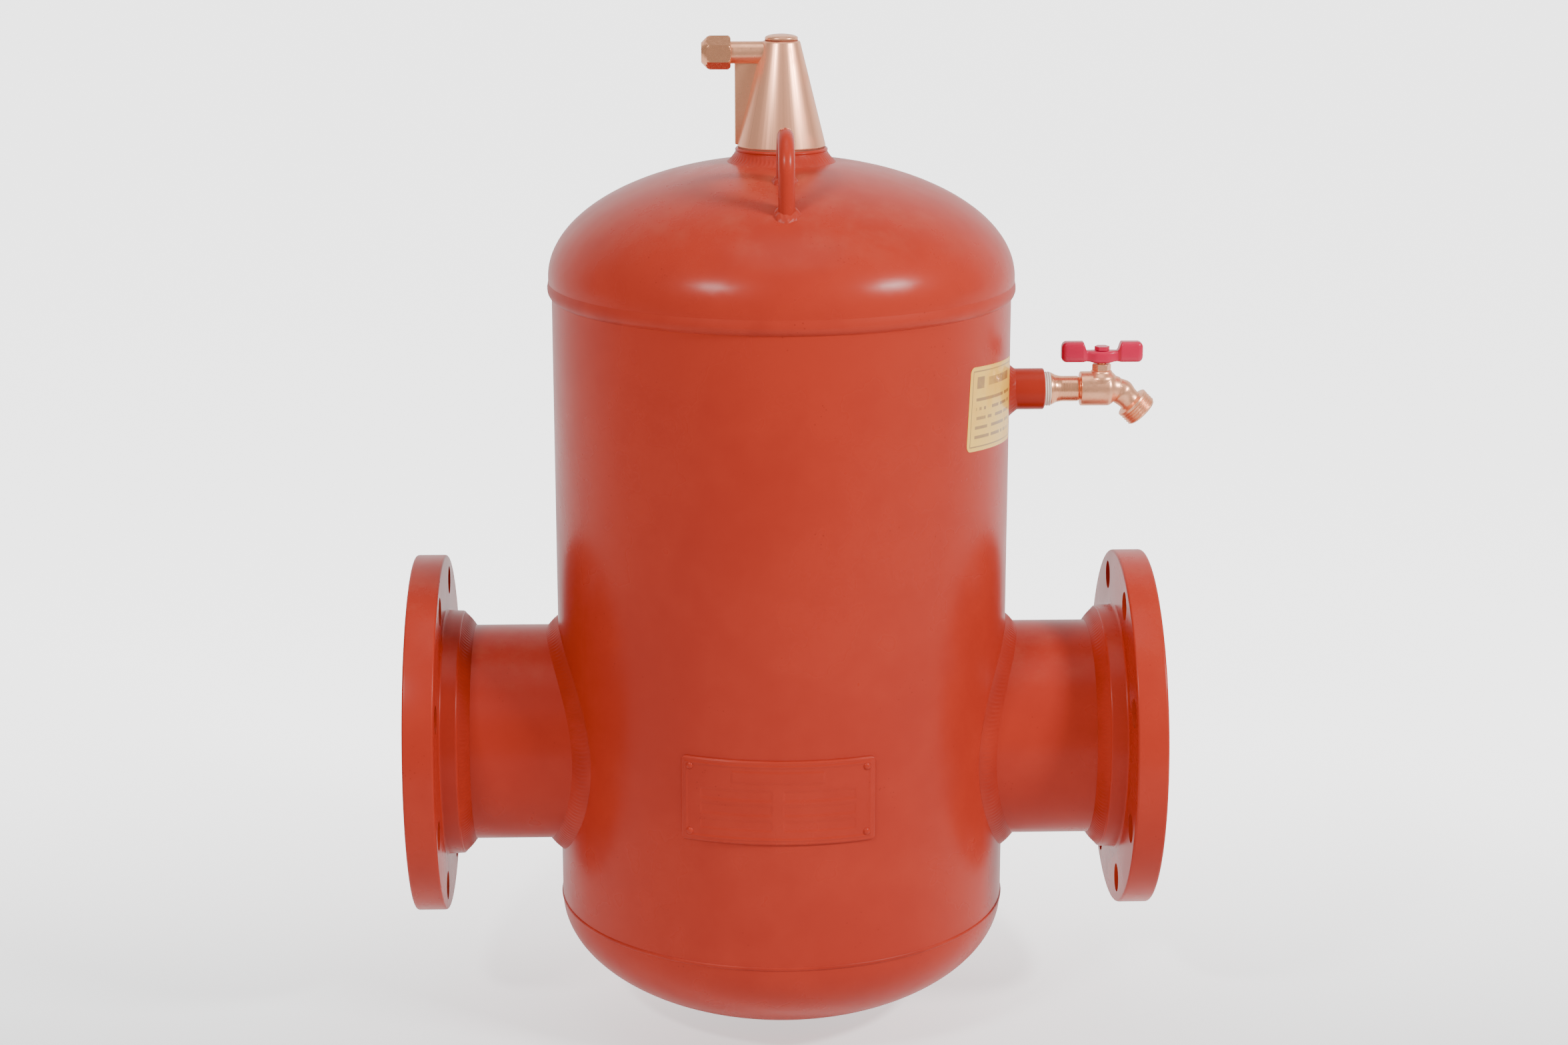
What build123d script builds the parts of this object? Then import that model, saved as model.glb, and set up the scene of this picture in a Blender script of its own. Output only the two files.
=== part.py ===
from build123d import *
from math import atan2, cos, degrees, radians, sin, sqrt
import os

# Flanged in-line air separator for heating and chilled water pipework, in millimetres.
# The welded vessel stands across the run. Water enters at the origin, which is the centre of the inlet
# flange's raised face, and flows along +X through a bundle of wire-wound tubes. The bundle sheds bubbles,
# which rise into the dome and leave through a float-operated vent. +Z is up, along the vessel's axis.
# A quarter-turn valve on the +X side skims what floats at the waterline.

os.makedirs("parts", exist_ok=True)

# ---------------------------------------------------------------- driving dimensions
# Run and vessel
FACE_TO_FACE = 577.0          # raised face to raised face
SHELL_OD = 350.0
SHELL_WALL = 5.0
SHELL_ABOVE = 355.0           # pipe centreline up to the upper girth seam
SHELL_BELOW = 131.5           # pipe centreline down to the lower girth seam
HEAD_RATIO = 4.0              # a 2:1 head is a quarter of its diameter deep
TOP_HEAD_STEP = 2.5           # the top head stands this much proud of the shell, all round
TOP_HEAD_SKIRT = 9.0
BOTTOM_HEAD_SKIRT = 1.5

# Welds
GIRTH_BEAD_WIDTH = 12.0
UPPER_BEAD_RISE = 2.0
LOWER_BEAD_RISE = 0.8
NOZZLE_WELD_LEG = 8.0
FLANGE_WELD_LEG = 8.5
SMALL_WELD_LEG = 6.0
ROOT_GAP = 0.8                # fit-up gap between a fitting and the hole it stands in

# Nozzles and class 150 slip-on flanges
PIPE_OD = 168.3
PIPE_WALL = 7.11
FLANGE_OD = 279.4
FLANGE_THICKNESS = 25.4       # includes the raised face
FACE_HEIGHT = 1.6
FACE_DIAMETER = 215.9
HUB_DIAMETER = 192.1
HUB_LENGTH = 39.6             # raised face to the end of the hub
SLIP_CLEARANCE = 1.2          # flange bore over pipe, on the radius
PIPE_SETBACK = 9.0            # raised face to the pipe's end
BOLT_CIRCLE = 241.3
BOLT_HOLE = 22.2
BOLT_COUNT = 8
RIM_ROUND = 2.0

# Boss and float vent on the dome
BOSS_DIAMETER = 70.0
BOSS_RISE = 8.4               # boss top above the dome's crown
BOSS_PROJECTION = 3.0         # boss below the inside of the crown
GASKET_THICKNESS = 1.0
VENT_BASE_R = 33.5
VENT_TOP_R = 14.0
VENT_HEIGHT = 78.2
VENT_WALL = 3.6
VENT_THREAD_R = 29.0
VENT_THREAD_LENGTH = 9.0
THREAD_CLEARANCE = 0.1
CAP_R = 12.4
CAP_HEIGHT = 4.4
CAP_GASKET = 0.8
SPOUT_BELOW_TOP = 0.3         # top of the spout's tube under the cone's flat top
SPOUT_R = 8.3
SPOUT_BORE_R = 5.0
SPOUT_REACH = 38.0            # vessel axis to the inner face of the spout's hexagon
HEX_FLATS = 22.0
HEX_LENGTH = 22.0
HEX_BEVEL = 4.5               # degrees, slope of the cone that takes the hexagon's corners off
HEX_CONE_R = 13.6             # that cone's radius at the hexagon's inner face
HEX_ENGAGEMENT = 8.0          # spout thread inside the hexagon
WEB_THICKNESS = 4.5
WEB_REACH = 35.0
WEB_FOOT = 1.0                # web's lower edge above the vent's foot
PASSAGE_SUMP = 4.6            # outlet passage below the spout's bore
PASSAGE_EASING = 1.0          # thinner wall round the outlet passage
SEAT_WEB = 4.0                # metal between the float chamber and the outlet passage

# Float and lever
FLOAT_R = 18.0
FLOAT_HEIGHT = 31.0
FLOAT_BELOW_LEVER = 13.5      # float's top under the lever's middle, vent shut
LEVER_ARM = 19.0              # pivot to float rod
PIVOT_OFFSET = 9.5            # pivot from the vent's axis
PIVOT_DROP = 7.5              # pivot below the chamber's roof
PIN_R = 1.0
PIN_CLEARANCE = 0.05
ROD_R = 1.0
LEVER_THICKNESS = 1.2
LEVER_WIDTH = 6.0
ROD_PLAY = 3.0                # gap between the rod's two collars, for the lever to tilt in
SEAL_GAP = 0.05
SEAT_THREAD_R = 4.0
SEAT_FLANGE_R = 11.5
SEAT_FLANGE = 2.5
SEAT_LIP_R = 2.2
SEAT_LIP = 1.0
ORIFICE_R = 1.0
EAR_GAP = 1.5                 # lever's side to the ear beside it
EAR_THICKNESS = 1.5
EAR_WIDTH = 5.0
PIN_OVERHANG = 0.5            # pin beyond the ears' outer faces
LEVER_TAIL = 4.0              # lever beyond the float rod
SLOT_SHIFT = 0.3              # middle of the lever's slot outside the float rod
LEVER_SLOT_LENGTH = 4.4
LEVER_SLOT_WIDTH = 2.6
SEAL_R = 3.0
ROD_SOCKET = 8.0              # float rod inside the float

# Lifting lugs
LUG_BAR = 12.0
LUG_BEND = 25.0               # bend radius of the bar's centreline
LUG_PLACE = 98.0              # middle of a lug from the vessel's axis
LUG_TOP = 487.0

# Skim coupling and quarter-turn valve
SKIM_HEIGHT = 273.5
COUPLING_OD = 31.8
COUPLING_REACH = 27.3         # beyond the shell's outside
COUPLING_WELD_LEG = 7.0       # along the coupling
COUPLING_WELD_TOE = 6.0       # up the shell
TAPE_WIDTH = 5.7
TAPE_R = 13.4
PIPE_THREAD_R = 13.0
PIPE_THREAD_LENGTH = 18.0
VALVE_NECK_R = 9.8
VALVE_NECK_LENGTH = 22.5
VALVE_FLARE_LENGTH = 8.0      # the neck widens towards its thread over this length
VALVE_BODY_R = 13.3
VALVE_BODY_LENGTH = 25.0
VALVE_SCREW_R = 10.5          # thread that joins the inlet adapter to the body
VALVE_BORE_R = 4.8
STEM_OFFSET = 16.4            # start of the valve's body to its stem
BALL_R = 7.5
POCKET_CLEARANCE = 1.0
BALL_CLEARANCE = 0.05
SEAT_THICKNESS = 2.0
SEAT_EASING = 0.4             # ball seat's hole over the bore, on the radius
STEM_R = 3.5
BONNET_R = 7.8
GLAND_R = 5.8                 # recess in the bonnet for the packing and its nut
GLAND_DEPTH = 5.0
PACKING_HEIGHT = 3.0
BONNET_TOP = 14.5             # above the valve's bore axis
PACKING_NUT_HEIGHT = 5.0
PACKING_NUT_FLATS = 12.6
TANG_DEPTH = 2.0              # slot in the ball for the stem's tang
NECK_GROOVE = 1.2             # undercut where the inlet adapter meets the body, wide and deep
BEND_OUTSET = 4.5             # corner of the outlet's centreline beyond the body's end
OUTLET_ANGLE = 45.0           # outlet below the horizontal
OUTLET_NECK_R = 8.8
OUTLET_NECK_LENGTH = 14.0     # bend to the hose thread
OUTLET_BEND = 10.0            # bend radius of the outlet's centreline
BODY_ROUND = 1.5
HOSE_THREAD_R = 13.5
HOSE_THREAD_LENGTH = 13.0
HOSE_BEVEL = 1.2
STEM_FLAT = 5.25              # across the flats that turn the handle
STEM_SHY = 1.0                # stem's end under the handle's top
HANDLE_SPAN = 63.0
HANDLE_DEPTH = 13.0
HANDLE_GAP = 0.7              # handle above the packing nut
HANDLE_BAR_HEIGHT = 10.0
HANDLE_WING_LENGTH = 19.0
HANDLE_WING_HEIGHT = 17.0
HANDLE_ROUND = 2.0
HANDLE_NUT_FLATS = 10.0
HANDLE_NUT_HEIGHT = 3.0

# Plate and label on the shell
PLATE_ARC_WIDTH = 148.0
PLATE_HEIGHT = 65.0
PLATE_THICKNESS = 2.4
PLATE_CORNER = 4.0
TACK_R = 3.0
TACK_INSET = 7.0              # tack's middle in from the plate's edges
TACK_RISE = 1.2
TACK_ROOT = 0.8               # tack below the plate's face
PLATE_CENTRE = -2.6           # degrees round from the front, positive towards +X
LABEL_ARC_WIDTH = 92.0
LABEL_HEIGHT = 63.5
LABEL_THICKNESS = 0.3
LABEL_CORNER = 5.0
LABEL_CENTRE = 65.0
LABEL_CENTRE_Z = 277.5
LABEL_TILT = -4.3

# Coalescing bundle
TUBE_PITCH = 60.0
MEDIA_R = 29.6
MEDIA_WALL = 0.6
CORE_R = 11.0
CORE_WALL = 1.0
BUNDLE_HALF_HEIGHT = 104.0
BUNDLE_PLATE = 4.0
BUNDLE_CLEARANCE = 8.0        # plate edge to the inside of the shell
TIE_ROD_R = 4.0
NUT_FLATS = 13.0
NUT_HEIGHT = 6.5
TIE_ROD_END = 2.0             # rod beyond its nuts
SUPPORT_DEPTH = 22.0
SUPPORT_WIDTH = 26.0
SUPPORT_HEIGHT = 8.0

# ---------------------------------------------------------------- derived places
AXIS_X = FACE_TO_FACE / 2
SHELL_R = SHELL_OD / 2
SHELL_IN_R = SHELL_R - SHELL_WALL
TOP_R = SHELL_R + TOP_HEAD_STEP
TOP_WALL = SHELL_WALL + TOP_HEAD_STEP
TOP_TANGENT = SHELL_ABOVE + TOP_HEAD_SKIRT
TOP_DEPTH = 2 * TOP_R / HEAD_RATIO
CROWN = TOP_TANGENT + TOP_DEPTH
BOTTOM_TANGENT = -SHELL_BELOW - BOTTOM_HEAD_SKIRT
BOTTOM_DEPTH = 2 * SHELL_R / HEAD_RATIO
PIPE_R = PIPE_OD / 2
BOSS_TOP = CROWN + BOSS_RISE
BOSS_BASE = CROWN - TOP_WALL - BOSS_PROJECTION
VENT_Z = BOSS_TOP + GASKET_THICKNESS
VENT_TOP = VENT_Z + VENT_HEIGHT
SPOUT_Z = VENT_TOP - SPOUT_BELOW_TOP - SPOUT_R
CHAMBER_ROOF = SPOUT_Z - SPOUT_BORE_R - PASSAGE_SUMP - SEAT_WEB
COUPLING_END = SHELL_R + COUPLING_REACH
ADAPTER_START = COUPLING_END + TAPE_WIDTH
BODY_START = ADAPTER_START + VALVE_NECK_LENGTH
BALL_X = BODY_START + STEM_OFFSET
BEND_X = BODY_START + VALVE_BODY_LENGTH + BEND_OUTSET

# Upright plane through the vessel's axis (local x outwards towards +X, local y up), and the axes in use
AXIAL = Plane(origin=(AXIS_X, 0, 0), x_dir=(1, 0, 0), z_dir=(0, -1, 0))
VESSEL_AXIS = Axis((AXIS_X, 0, 0), (0, 0, 1))
MIDDLE = Plane.YZ.offset(AXIS_X)
SKIM_PLANE = Plane(origin=(AXIS_X, 0, SKIM_HEIGHT), x_dir=(0, 1, 0), z_dir=(1, 0, 0))
SKIM_AXIS = Axis((AXIS_X, 0, SKIM_HEIGHT), (1, 0, 0))
SKIM_SECTION = Plane(origin=(AXIS_X, 0, SKIM_HEIGHT), x_dir=(1, 0, 0), z_dir=(0, -1, 0))
STEM_PLANE = Plane(origin=(AXIS_X + BALL_X, 0, SKIM_HEIGHT))


def level(height):
    """Horizontal plane on the vessel's axis."""
    return Plane(origin=(AXIS_X, 0, height))


def dome_height(radius):
    """Height of the top head's outside at a distance from the vessel's axis."""
    return TOP_TANGENT + TOP_DEPTH * sqrt(1 - (radius / TOP_R) ** 2)


def cone_radius(height):
    """Outside radius of the vent's cone at a height above its base."""
    return VENT_BASE_R - (VENT_BASE_R - VENT_TOP_R) * height / VENT_HEIGHT


def save(piece, name):
    """Label a finished piece and write it as its own node."""
    piece.part.label = name
    export_step(piece.part, f"parts/{name}.step")


# ---------------------------------------------------------------- vessel
with BuildPart() as shell:
    with BuildSketch(level(-SHELL_BELOW)):
        Circle(SHELL_R)
        Circle(SHELL_IN_R, mode=Mode.SUBTRACT)
    extrude(amount=SHELL_ABOVE + SHELL_BELOW)
    with BuildSketch(Plane.YZ.offset(AXIS_X)):
        Circle(PIPE_R + ROOT_GAP)
    extrude(amount=SHELL_OD, both=True, mode=Mode.SUBTRACT)
    with BuildSketch(SKIM_PLANE):
        Circle(COUPLING_OD / 2 + ROOT_GAP)
    extrude(amount=SHELL_OD, mode=Mode.SUBTRACT)
save(shell, "shell")

with BuildPart() as top_head:
    with BuildSketch(AXIAL):
        with Locations((0, TOP_TANGENT)):
            Ellipse(TOP_R, TOP_DEPTH)
            Ellipse(TOP_R - TOP_WALL, TOP_DEPTH - TOP_WALL, mode=Mode.SUBTRACT)
            Rectangle(TOP_R, TOP_DEPTH, align=(Align.MIN, Align.MIN), mode=Mode.INTERSECT)
        with Locations((TOP_R - TOP_WALL, SHELL_ABOVE)):
            Rectangle(TOP_WALL, TOP_HEAD_SKIRT, align=(Align.MIN, Align.MIN))
    revolve(axis=VESSEL_AXIS)
    with BuildSketch(level(SHELL_ABOVE)):
        Circle(BOSS_DIAMETER / 2 + ROOT_GAP)
    extrude(amount=CROWN, mode=Mode.SUBTRACT)
save(top_head, "top_head")

with BuildPart() as bottom_head:
    with BuildSketch(AXIAL):
        with Locations((0, BOTTOM_TANGENT)):
            Ellipse(SHELL_R, BOTTOM_DEPTH)
            Ellipse(SHELL_IN_R, BOTTOM_DEPTH - SHELL_WALL, mode=Mode.SUBTRACT)
            Rectangle(SHELL_R, BOTTOM_DEPTH, align=(Align.MIN, Align.MAX), mode=Mode.INTERSECT)
        with Locations((SHELL_IN_R, BOTTOM_TANGENT)):
            Rectangle(SHELL_WALL, BOTTOM_HEAD_SKIRT, align=(Align.MIN, Align.MIN))
    revolve(axis=VESSEL_AXIS)
save(bottom_head, "bottom_head")

with BuildPart() as upper_girth_weld:
    with BuildSketch(AXIAL):
        with BuildLine():
            low = (SHELL_R, SHELL_ABOVE - GIRTH_BEAD_WIDTH / 2)
            high = (TOP_R, SHELL_ABOVE + GIRTH_BEAD_WIDTH / 2)
            Line(low, (SHELL_R, SHELL_ABOVE))
            Line((SHELL_R, SHELL_ABOVE), (TOP_R, SHELL_ABOVE))
            Line((TOP_R, SHELL_ABOVE), high)
            ThreePointArc(high, (TOP_R + UPPER_BEAD_RISE, SHELL_ABOVE + GIRTH_BEAD_WIDTH / 6), low)
        make_face()
    revolve(axis=VESSEL_AXIS)
save(upper_girth_weld, "upper_girth_weld")

with BuildPart() as lower_girth_weld:
    with BuildSketch(AXIAL):
        with BuildLine():
            low = (SHELL_R, -SHELL_BELOW - BOTTOM_HEAD_SKIRT)
            high = (SHELL_R, -SHELL_BELOW + BOTTOM_HEAD_SKIRT)
            Line(low, high)
            ThreePointArc(high, (SHELL_R + LOWER_BEAD_RISE, -SHELL_BELOW), low)
        make_face()
    revolve(axis=VESSEL_AXIS)
save(lower_girth_weld, "lower_girth_weld")


# ---------------------------------------------------------------- nozzles and flanges
def build_nozzle():
    """Inlet pipe stub, cut flush with the inside of the shell."""
    with BuildPart() as nozzle:
        with BuildSketch(Plane.YZ.offset(PIPE_SETBACK)):
            Circle(PIPE_R)
            Circle(PIPE_R - PIPE_WALL, mode=Mode.SUBTRACT)
        extrude(amount=AXIS_X - PIPE_SETBACK)
        with BuildSketch(level(-PIPE_OD)):
            Circle(SHELL_IN_R)
        extrude(amount=2 * PIPE_OD, mode=Mode.SUBTRACT)
    return nozzle


def build_flange():
    """Slip-on flange at the inlet, raised face in the YZ plane and hub towards the vessel."""
    bore_r = PIPE_R + SLIP_CLEARANCE
    with BuildPart() as flange:
        with BuildSketch(Plane.XZ):
            with BuildLine():
                Polyline(
                    (0, bore_r),
                    (0, FACE_DIAMETER / 2),
                    (FACE_HEIGHT, FACE_DIAMETER / 2),
                    (FACE_HEIGHT, FLANGE_OD / 2),
                    (FLANGE_THICKNESS, FLANGE_OD / 2),
                    (FLANGE_THICKNESS, HUB_DIAMETER / 2),
                    (HUB_LENGTH, HUB_DIAMETER / 2),
                    (HUB_LENGTH, bore_r),
                    close=True,
                )
            make_face()
        revolve(axis=Axis.X)
        rim = flange.edges().filter_by(GeomType.CIRCLE).sort_by(SortBy.RADIUS)[-2:]
        fillet(rim, RIM_ROUND)
        with BuildSketch(Plane.YZ):
            with PolarLocations(BOLT_CIRCLE / 2, BOLT_COUNT, start_angle=180 / BOLT_COUNT):
                Circle(BOLT_HOLE / 2)
        extrude(amount=FLANGE_THICKNESS, mode=Mode.SUBTRACT)
    return flange


def build_flange_welds():
    """Ramp of weld between hub and pipe, and the ring that seals the pipe's end inside the bore."""
    bore_r = PIPE_R + SLIP_CLEARANCE
    with BuildPart() as welds:
        with BuildSketch(Plane.XZ):
            with BuildLine():
                Polyline(
                    (HUB_LENGTH, PIPE_R),
                    (HUB_LENGTH, HUB_DIAMETER / 2 - FLANGE_WELD_LEG / 4),
                    (HUB_LENGTH + FLANGE_WELD_LEG, PIPE_R),
                    close=True,
                )
            make_face()
            with BuildLine():
                Polyline(
                    (PIPE_SETBACK, bore_r),
                    (PIPE_SETBACK, PIPE_R - PIPE_WALL / 2),
                    (PIPE_SETBACK - PIPE_WALL, bore_r),
                    close=True,
                )
            make_face()
        revolve(axis=Axis.X)
    return welds


inlet_nozzle = build_nozzle()
save(inlet_nozzle, "inlet_nozzle")
inlet_flange = build_flange()
save(inlet_flange, "inlet_flange")
inlet_flange_welds = build_flange_welds()

with BuildPart() as outlet_nozzle:
    mirror(inlet_nozzle.part, about=MIDDLE)
save(outlet_nozzle, "outlet_nozzle")

with BuildPart() as outlet_flange:
    mirror(inlet_flange.part, about=MIDDLE)
save(outlet_flange, "outlet_flange")

with BuildPart() as flange_welds:
    add(inlet_flange_welds.part)
    mirror(inlet_flange_welds.part, about=MIDDLE)
save(flange_welds, "flange_welds")


def weld_ring(base, post, leg):
    """Sloping fillet of weld where a post meets a base: the chamfered join less the two pieces."""
    with BuildPart() as joined:
        add(base)
        add(post)
        chamfer(joined.edges(Select.NEW), leg)
    with BuildPart() as ring:
        add(joined.part)
        add(base, mode=Mode.SUBTRACT)
        add(post, mode=Mode.SUBTRACT)
    return ring


with BuildPart() as shell_solid:
    with BuildSketch(level(-SHELL_BELOW)):
        Circle(SHELL_R)
    extrude(amount=SHELL_ABOVE + SHELL_BELOW)

with BuildPart() as pipe_solid:
    with BuildSketch(Plane.YZ.offset(AXIS_X)):
        Circle(PIPE_R)
    extrude(amount=-(AXIS_X - HUB_LENGTH - FLANGE_WELD_LEG))

inlet_ring = weld_ring(shell_solid.part, pipe_solid.part, NOZZLE_WELD_LEG)
with BuildPart() as nozzle_welds:
    add(inlet_ring.part)
    mirror(inlet_ring.part, about=MIDDLE)
save(nozzle_welds, "nozzle_welds")


# ---------------------------------------------------------------- boss on the dome
with BuildPart() as vent_boss:
    with BuildSketch(level(BOSS_BASE)):
        Circle(BOSS_DIAMETER / 2)
        Circle(VENT_THREAD_R - VENT_WALL, mode=Mode.SUBTRACT)
    extrude(amount=BOSS_TOP - BOSS_BASE)
    with BuildSketch(level(BOSS_TOP)):
        Circle(VENT_THREAD_R)
    extrude(amount=-(VENT_THREAD_LENGTH + ROOT_GAP), mode=Mode.SUBTRACT)
    lip = vent_boss.edges().filter_by(GeomType.CIRCLE).group_by(Axis.Z)[-1].sort_by(SortBy.RADIUS)[-1]
    chamfer(lip, ROOT_GAP)
save(vent_boss, "vent_boss")

with BuildPart() as vent_boss_weld:
    boss_r = BOSS_DIAMETER / 2
    toe_r = boss_r + SMALL_WELD_LEG
    with BuildSketch(AXIAL):
        with BuildLine():
            Polyline(
                (boss_r, dome_height(toe_r) - TOP_WALL),
                (boss_r, dome_height(boss_r) + SMALL_WELD_LEG),
                (toe_r, dome_height(toe_r)),
                (toe_r, dome_height(toe_r) - TOP_WALL),
                close=True,
            )
        make_face()
        with Locations((0, TOP_TANGENT)):
            Ellipse(TOP_R, TOP_DEPTH, mode=Mode.SUBTRACT)
    revolve(axis=VESSEL_AXIS)
save(vent_boss_weld, "vent_boss_weld")

with BuildPart() as vent_base_gasket:
    with BuildSketch(level(BOSS_TOP)):
        Circle(VENT_BASE_R - ROOT_GAP)
        Circle(VENT_THREAD_R + ROOT_GAP, mode=Mode.SUBTRACT)
    extrude(amount=GASKET_THICKNESS)
save(vent_base_gasket, "vent_base_gasket")

# ---------------------------------------------------------------- vent casting
PASSAGE_R = VENT_TOP_R - 2 * VENT_WALL + PASSAGE_EASING
CHAMBER_R = VENT_THREAD_R - VENT_WALL
TAPER_START = VENT_HEIGHT * (VENT_BASE_R - CHAMBER_R - VENT_WALL) / (VENT_BASE_R - VENT_TOP_R)
ROOF_R = cone_radius(CHAMBER_ROOF - VENT_Z) - VENT_WALL

with BuildPart() as vent_body:
    with BuildSketch(AXIAL):
        with BuildLine():
            Polyline(
                (0, VENT_Z - VENT_THREAD_LENGTH),
                (VENT_THREAD_R - THREAD_CLEARANCE, VENT_Z - VENT_THREAD_LENGTH),
                (VENT_THREAD_R - THREAD_CLEARANCE, VENT_Z),
                (VENT_BASE_R, VENT_Z),
                (VENT_TOP_R, VENT_TOP),
                (0, VENT_TOP),
                close=True,
            )
        make_face()
    revolve(axis=VESSEL_AXIS)
    with BuildSketch(Plane(origin=(AXIS_X, 0, SPOUT_Z), x_dir=(0, 1, 0), z_dir=(-1, 0, 0))):
        Circle(SPOUT_R)
    extrude(amount=SPOUT_REACH + HEX_ENGAGEMENT)
    with BuildSketch(AXIAL):
        with BuildLine():
            Polyline(
                (-WEB_REACH, VENT_Z + WEB_FOOT),
                (-WEB_REACH, SPOUT_Z),
                (0, SPOUT_Z),
                (0, VENT_Z + WEB_FOOT),
                close=True,
            )
        make_face()
    extrude(amount=WEB_THICKNESS / 2, both=True)
    with BuildSketch(AXIAL):
        with BuildLine():
            Polyline(
                (0, VENT_Z - VENT_THREAD_LENGTH),
                (CHAMBER_R, VENT_Z - VENT_THREAD_LENGTH),
                (CHAMBER_R, VENT_Z + TAPER_START),
                (ROOF_R, CHAMBER_ROOF),
                (SEAT_THREAD_R, CHAMBER_ROOF),
                (SEAT_THREAD_R, CHAMBER_ROOF + SEAT_WEB),
                (PASSAGE_R, CHAMBER_ROOF + SEAT_WEB),
                (PASSAGE_R, VENT_TOP),
                (0, VENT_TOP),
                close=True,
            )
        make_face()
    revolve(axis=VESSEL_AXIS, mode=Mode.SUBTRACT)
    with BuildSketch(Plane(origin=(AXIS_X, 0, SPOUT_Z), x_dir=(0, 1, 0), z_dir=(-1, 0, 0))):
        Circle(SPOUT_BORE_R)
    extrude(amount=SPOUT_REACH + HEX_ENGAGEMENT, mode=Mode.SUBTRACT)
save(vent_body, "vent_body")

with BuildPart() as vent_cap_gasket:
    with BuildSketch(level(VENT_TOP)):
        Circle(CAP_R)
        Circle(PASSAGE_R, mode=Mode.SUBTRACT)
    extrude(amount=CAP_GASKET)
save(vent_cap_gasket, "vent_cap_gasket")

with BuildPart() as vent_cap:
    cap_seat = VENT_TOP + CAP_GASKET
    with BuildSketch(AXIAL):
        with BuildLine():
            Line((0, cap_seat), (CAP_R, cap_seat))
            Line((CAP_R, cap_seat), (CAP_R, cap_seat + CAP_HEIGHT / 3))
            TangentArc((0, cap_seat + CAP_HEIGHT), (CAP_R, cap_seat + CAP_HEIGHT / 3), tangent=(1, 0))
            Line((0, cap_seat + CAP_HEIGHT), (0, cap_seat))
        make_face()
    revolve(axis=VESSEL_AXIS)
    with BuildSketch(level(cap_seat)):
        Circle(PASSAGE_R - THREAD_CLEARANCE)
    extrude(amount=-(VENT_TOP + CAP_GASKET - SPOUT_Z - SPOUT_BORE_R - ROOT_GAP))
save(vent_cap, "vent_cap")

with BuildPart() as vent_outlet_adapter:
    hex_start = Plane(origin=(AXIS_X - SPOUT_REACH, 0, SPOUT_Z), x_dir=(0, 1, 0), z_dir=(-1, 0, 0))
    with BuildSketch(hex_start):
        RegularPolygon(HEX_FLATS / 2, 6, major_radius=False)
    extrude(amount=HEX_LENGTH)
    with BuildSketch(hex_start):
        Circle(HEX_CONE_R)
    extrude(amount=HEX_LENGTH, taper=HEX_BEVEL, mode=Mode.INTERSECT)
    with BuildSketch(hex_start):
        Circle(SPOUT_R + THREAD_CLEARANCE)
    extrude(amount=HEX_ENGAGEMENT, mode=Mode.SUBTRACT)
    with BuildSketch(hex_start):
        Circle(SPOUT_BORE_R)
    extrude(amount=HEX_LENGTH, mode=Mode.SUBTRACT)
    with BuildSketch(hex_start.offset(HEX_LENGTH)):
        Circle(SPOUT_R - ROOT_GAP)
    extrude(amount=-(HEX_LENGTH - HEX_ENGAGEMENT - SEAT_WEB / 2), mode=Mode.SUBTRACT)
save(vent_outlet_adapter, "vent_outlet_adapter")

# ---------------------------------------------------------------- vent seat, lever and float
PIVOT_Z = CHAMBER_ROOF - PIVOT_DROP
LIP_Z = CHAMBER_ROOF - SEAT_FLANGE - SEAT_LIP
EAR_INNER = LEVER_WIDTH / 2 + EAR_GAP
EAR_OUTER = EAR_INNER + EAR_THICKNESS
ROD_X = PIVOT_OFFSET - LEVER_ARM
COLLAR_R = 2 * ROD_R

with BuildPart() as vent_seat:
    with BuildSketch(level(CHAMBER_ROOF)):
        Circle(SEAT_THREAD_R - THREAD_CLEARANCE)
    extrude(amount=SEAT_WEB + ROOT_GAP)
    with BuildSketch(level(CHAMBER_ROOF)):
        Circle(SEAT_FLANGE_R)
    extrude(amount=-SEAT_FLANGE)
    with BuildSketch(level(CHAMBER_ROOF - SEAT_FLANGE)):
        Circle(SEAT_LIP_R)
    extrude(amount=-SEAT_LIP)
    for side in (-1, 1):
        with BuildSketch(AXIAL.offset(side * (EAR_INNER + EAR_OUTER) / 2)):
            with Locations((PIVOT_OFFSET, PIVOT_Z)):
                Rectangle(EAR_WIDTH, EAR_WIDTH)
                Rectangle(EAR_WIDTH, PIVOT_DROP - SEAT_FLANGE / 2, align=(Align.CENTER, Align.MIN))
        extrude(amount=(EAR_OUTER - EAR_INNER) / 2, both=True)
    with BuildSketch(level(LIP_Z)):
        Circle(ORIFICE_R)
    extrude(amount=SEAT_WEB + 2 * SEAT_LIP + SEAT_FLANGE + ROOT_GAP, mode=Mode.SUBTRACT)
    with BuildSketch(AXIAL):
        with Locations((PIVOT_OFFSET, PIVOT_Z)):
            Circle(PIN_R + PIN_CLEARANCE / 2)
    extrude(amount=2 * EAR_OUTER, both=True, mode=Mode.SUBTRACT)
save(vent_seat, "vent_seat")

with BuildPart() as lever_pin:
    with BuildSketch(AXIAL):
        with Locations((PIVOT_OFFSET, PIVOT_Z)):
            Circle(PIN_R)
    extrude(amount=EAR_OUTER + PIN_OVERHANG, both=True)
save(lever_pin, "lever_pin")

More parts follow.
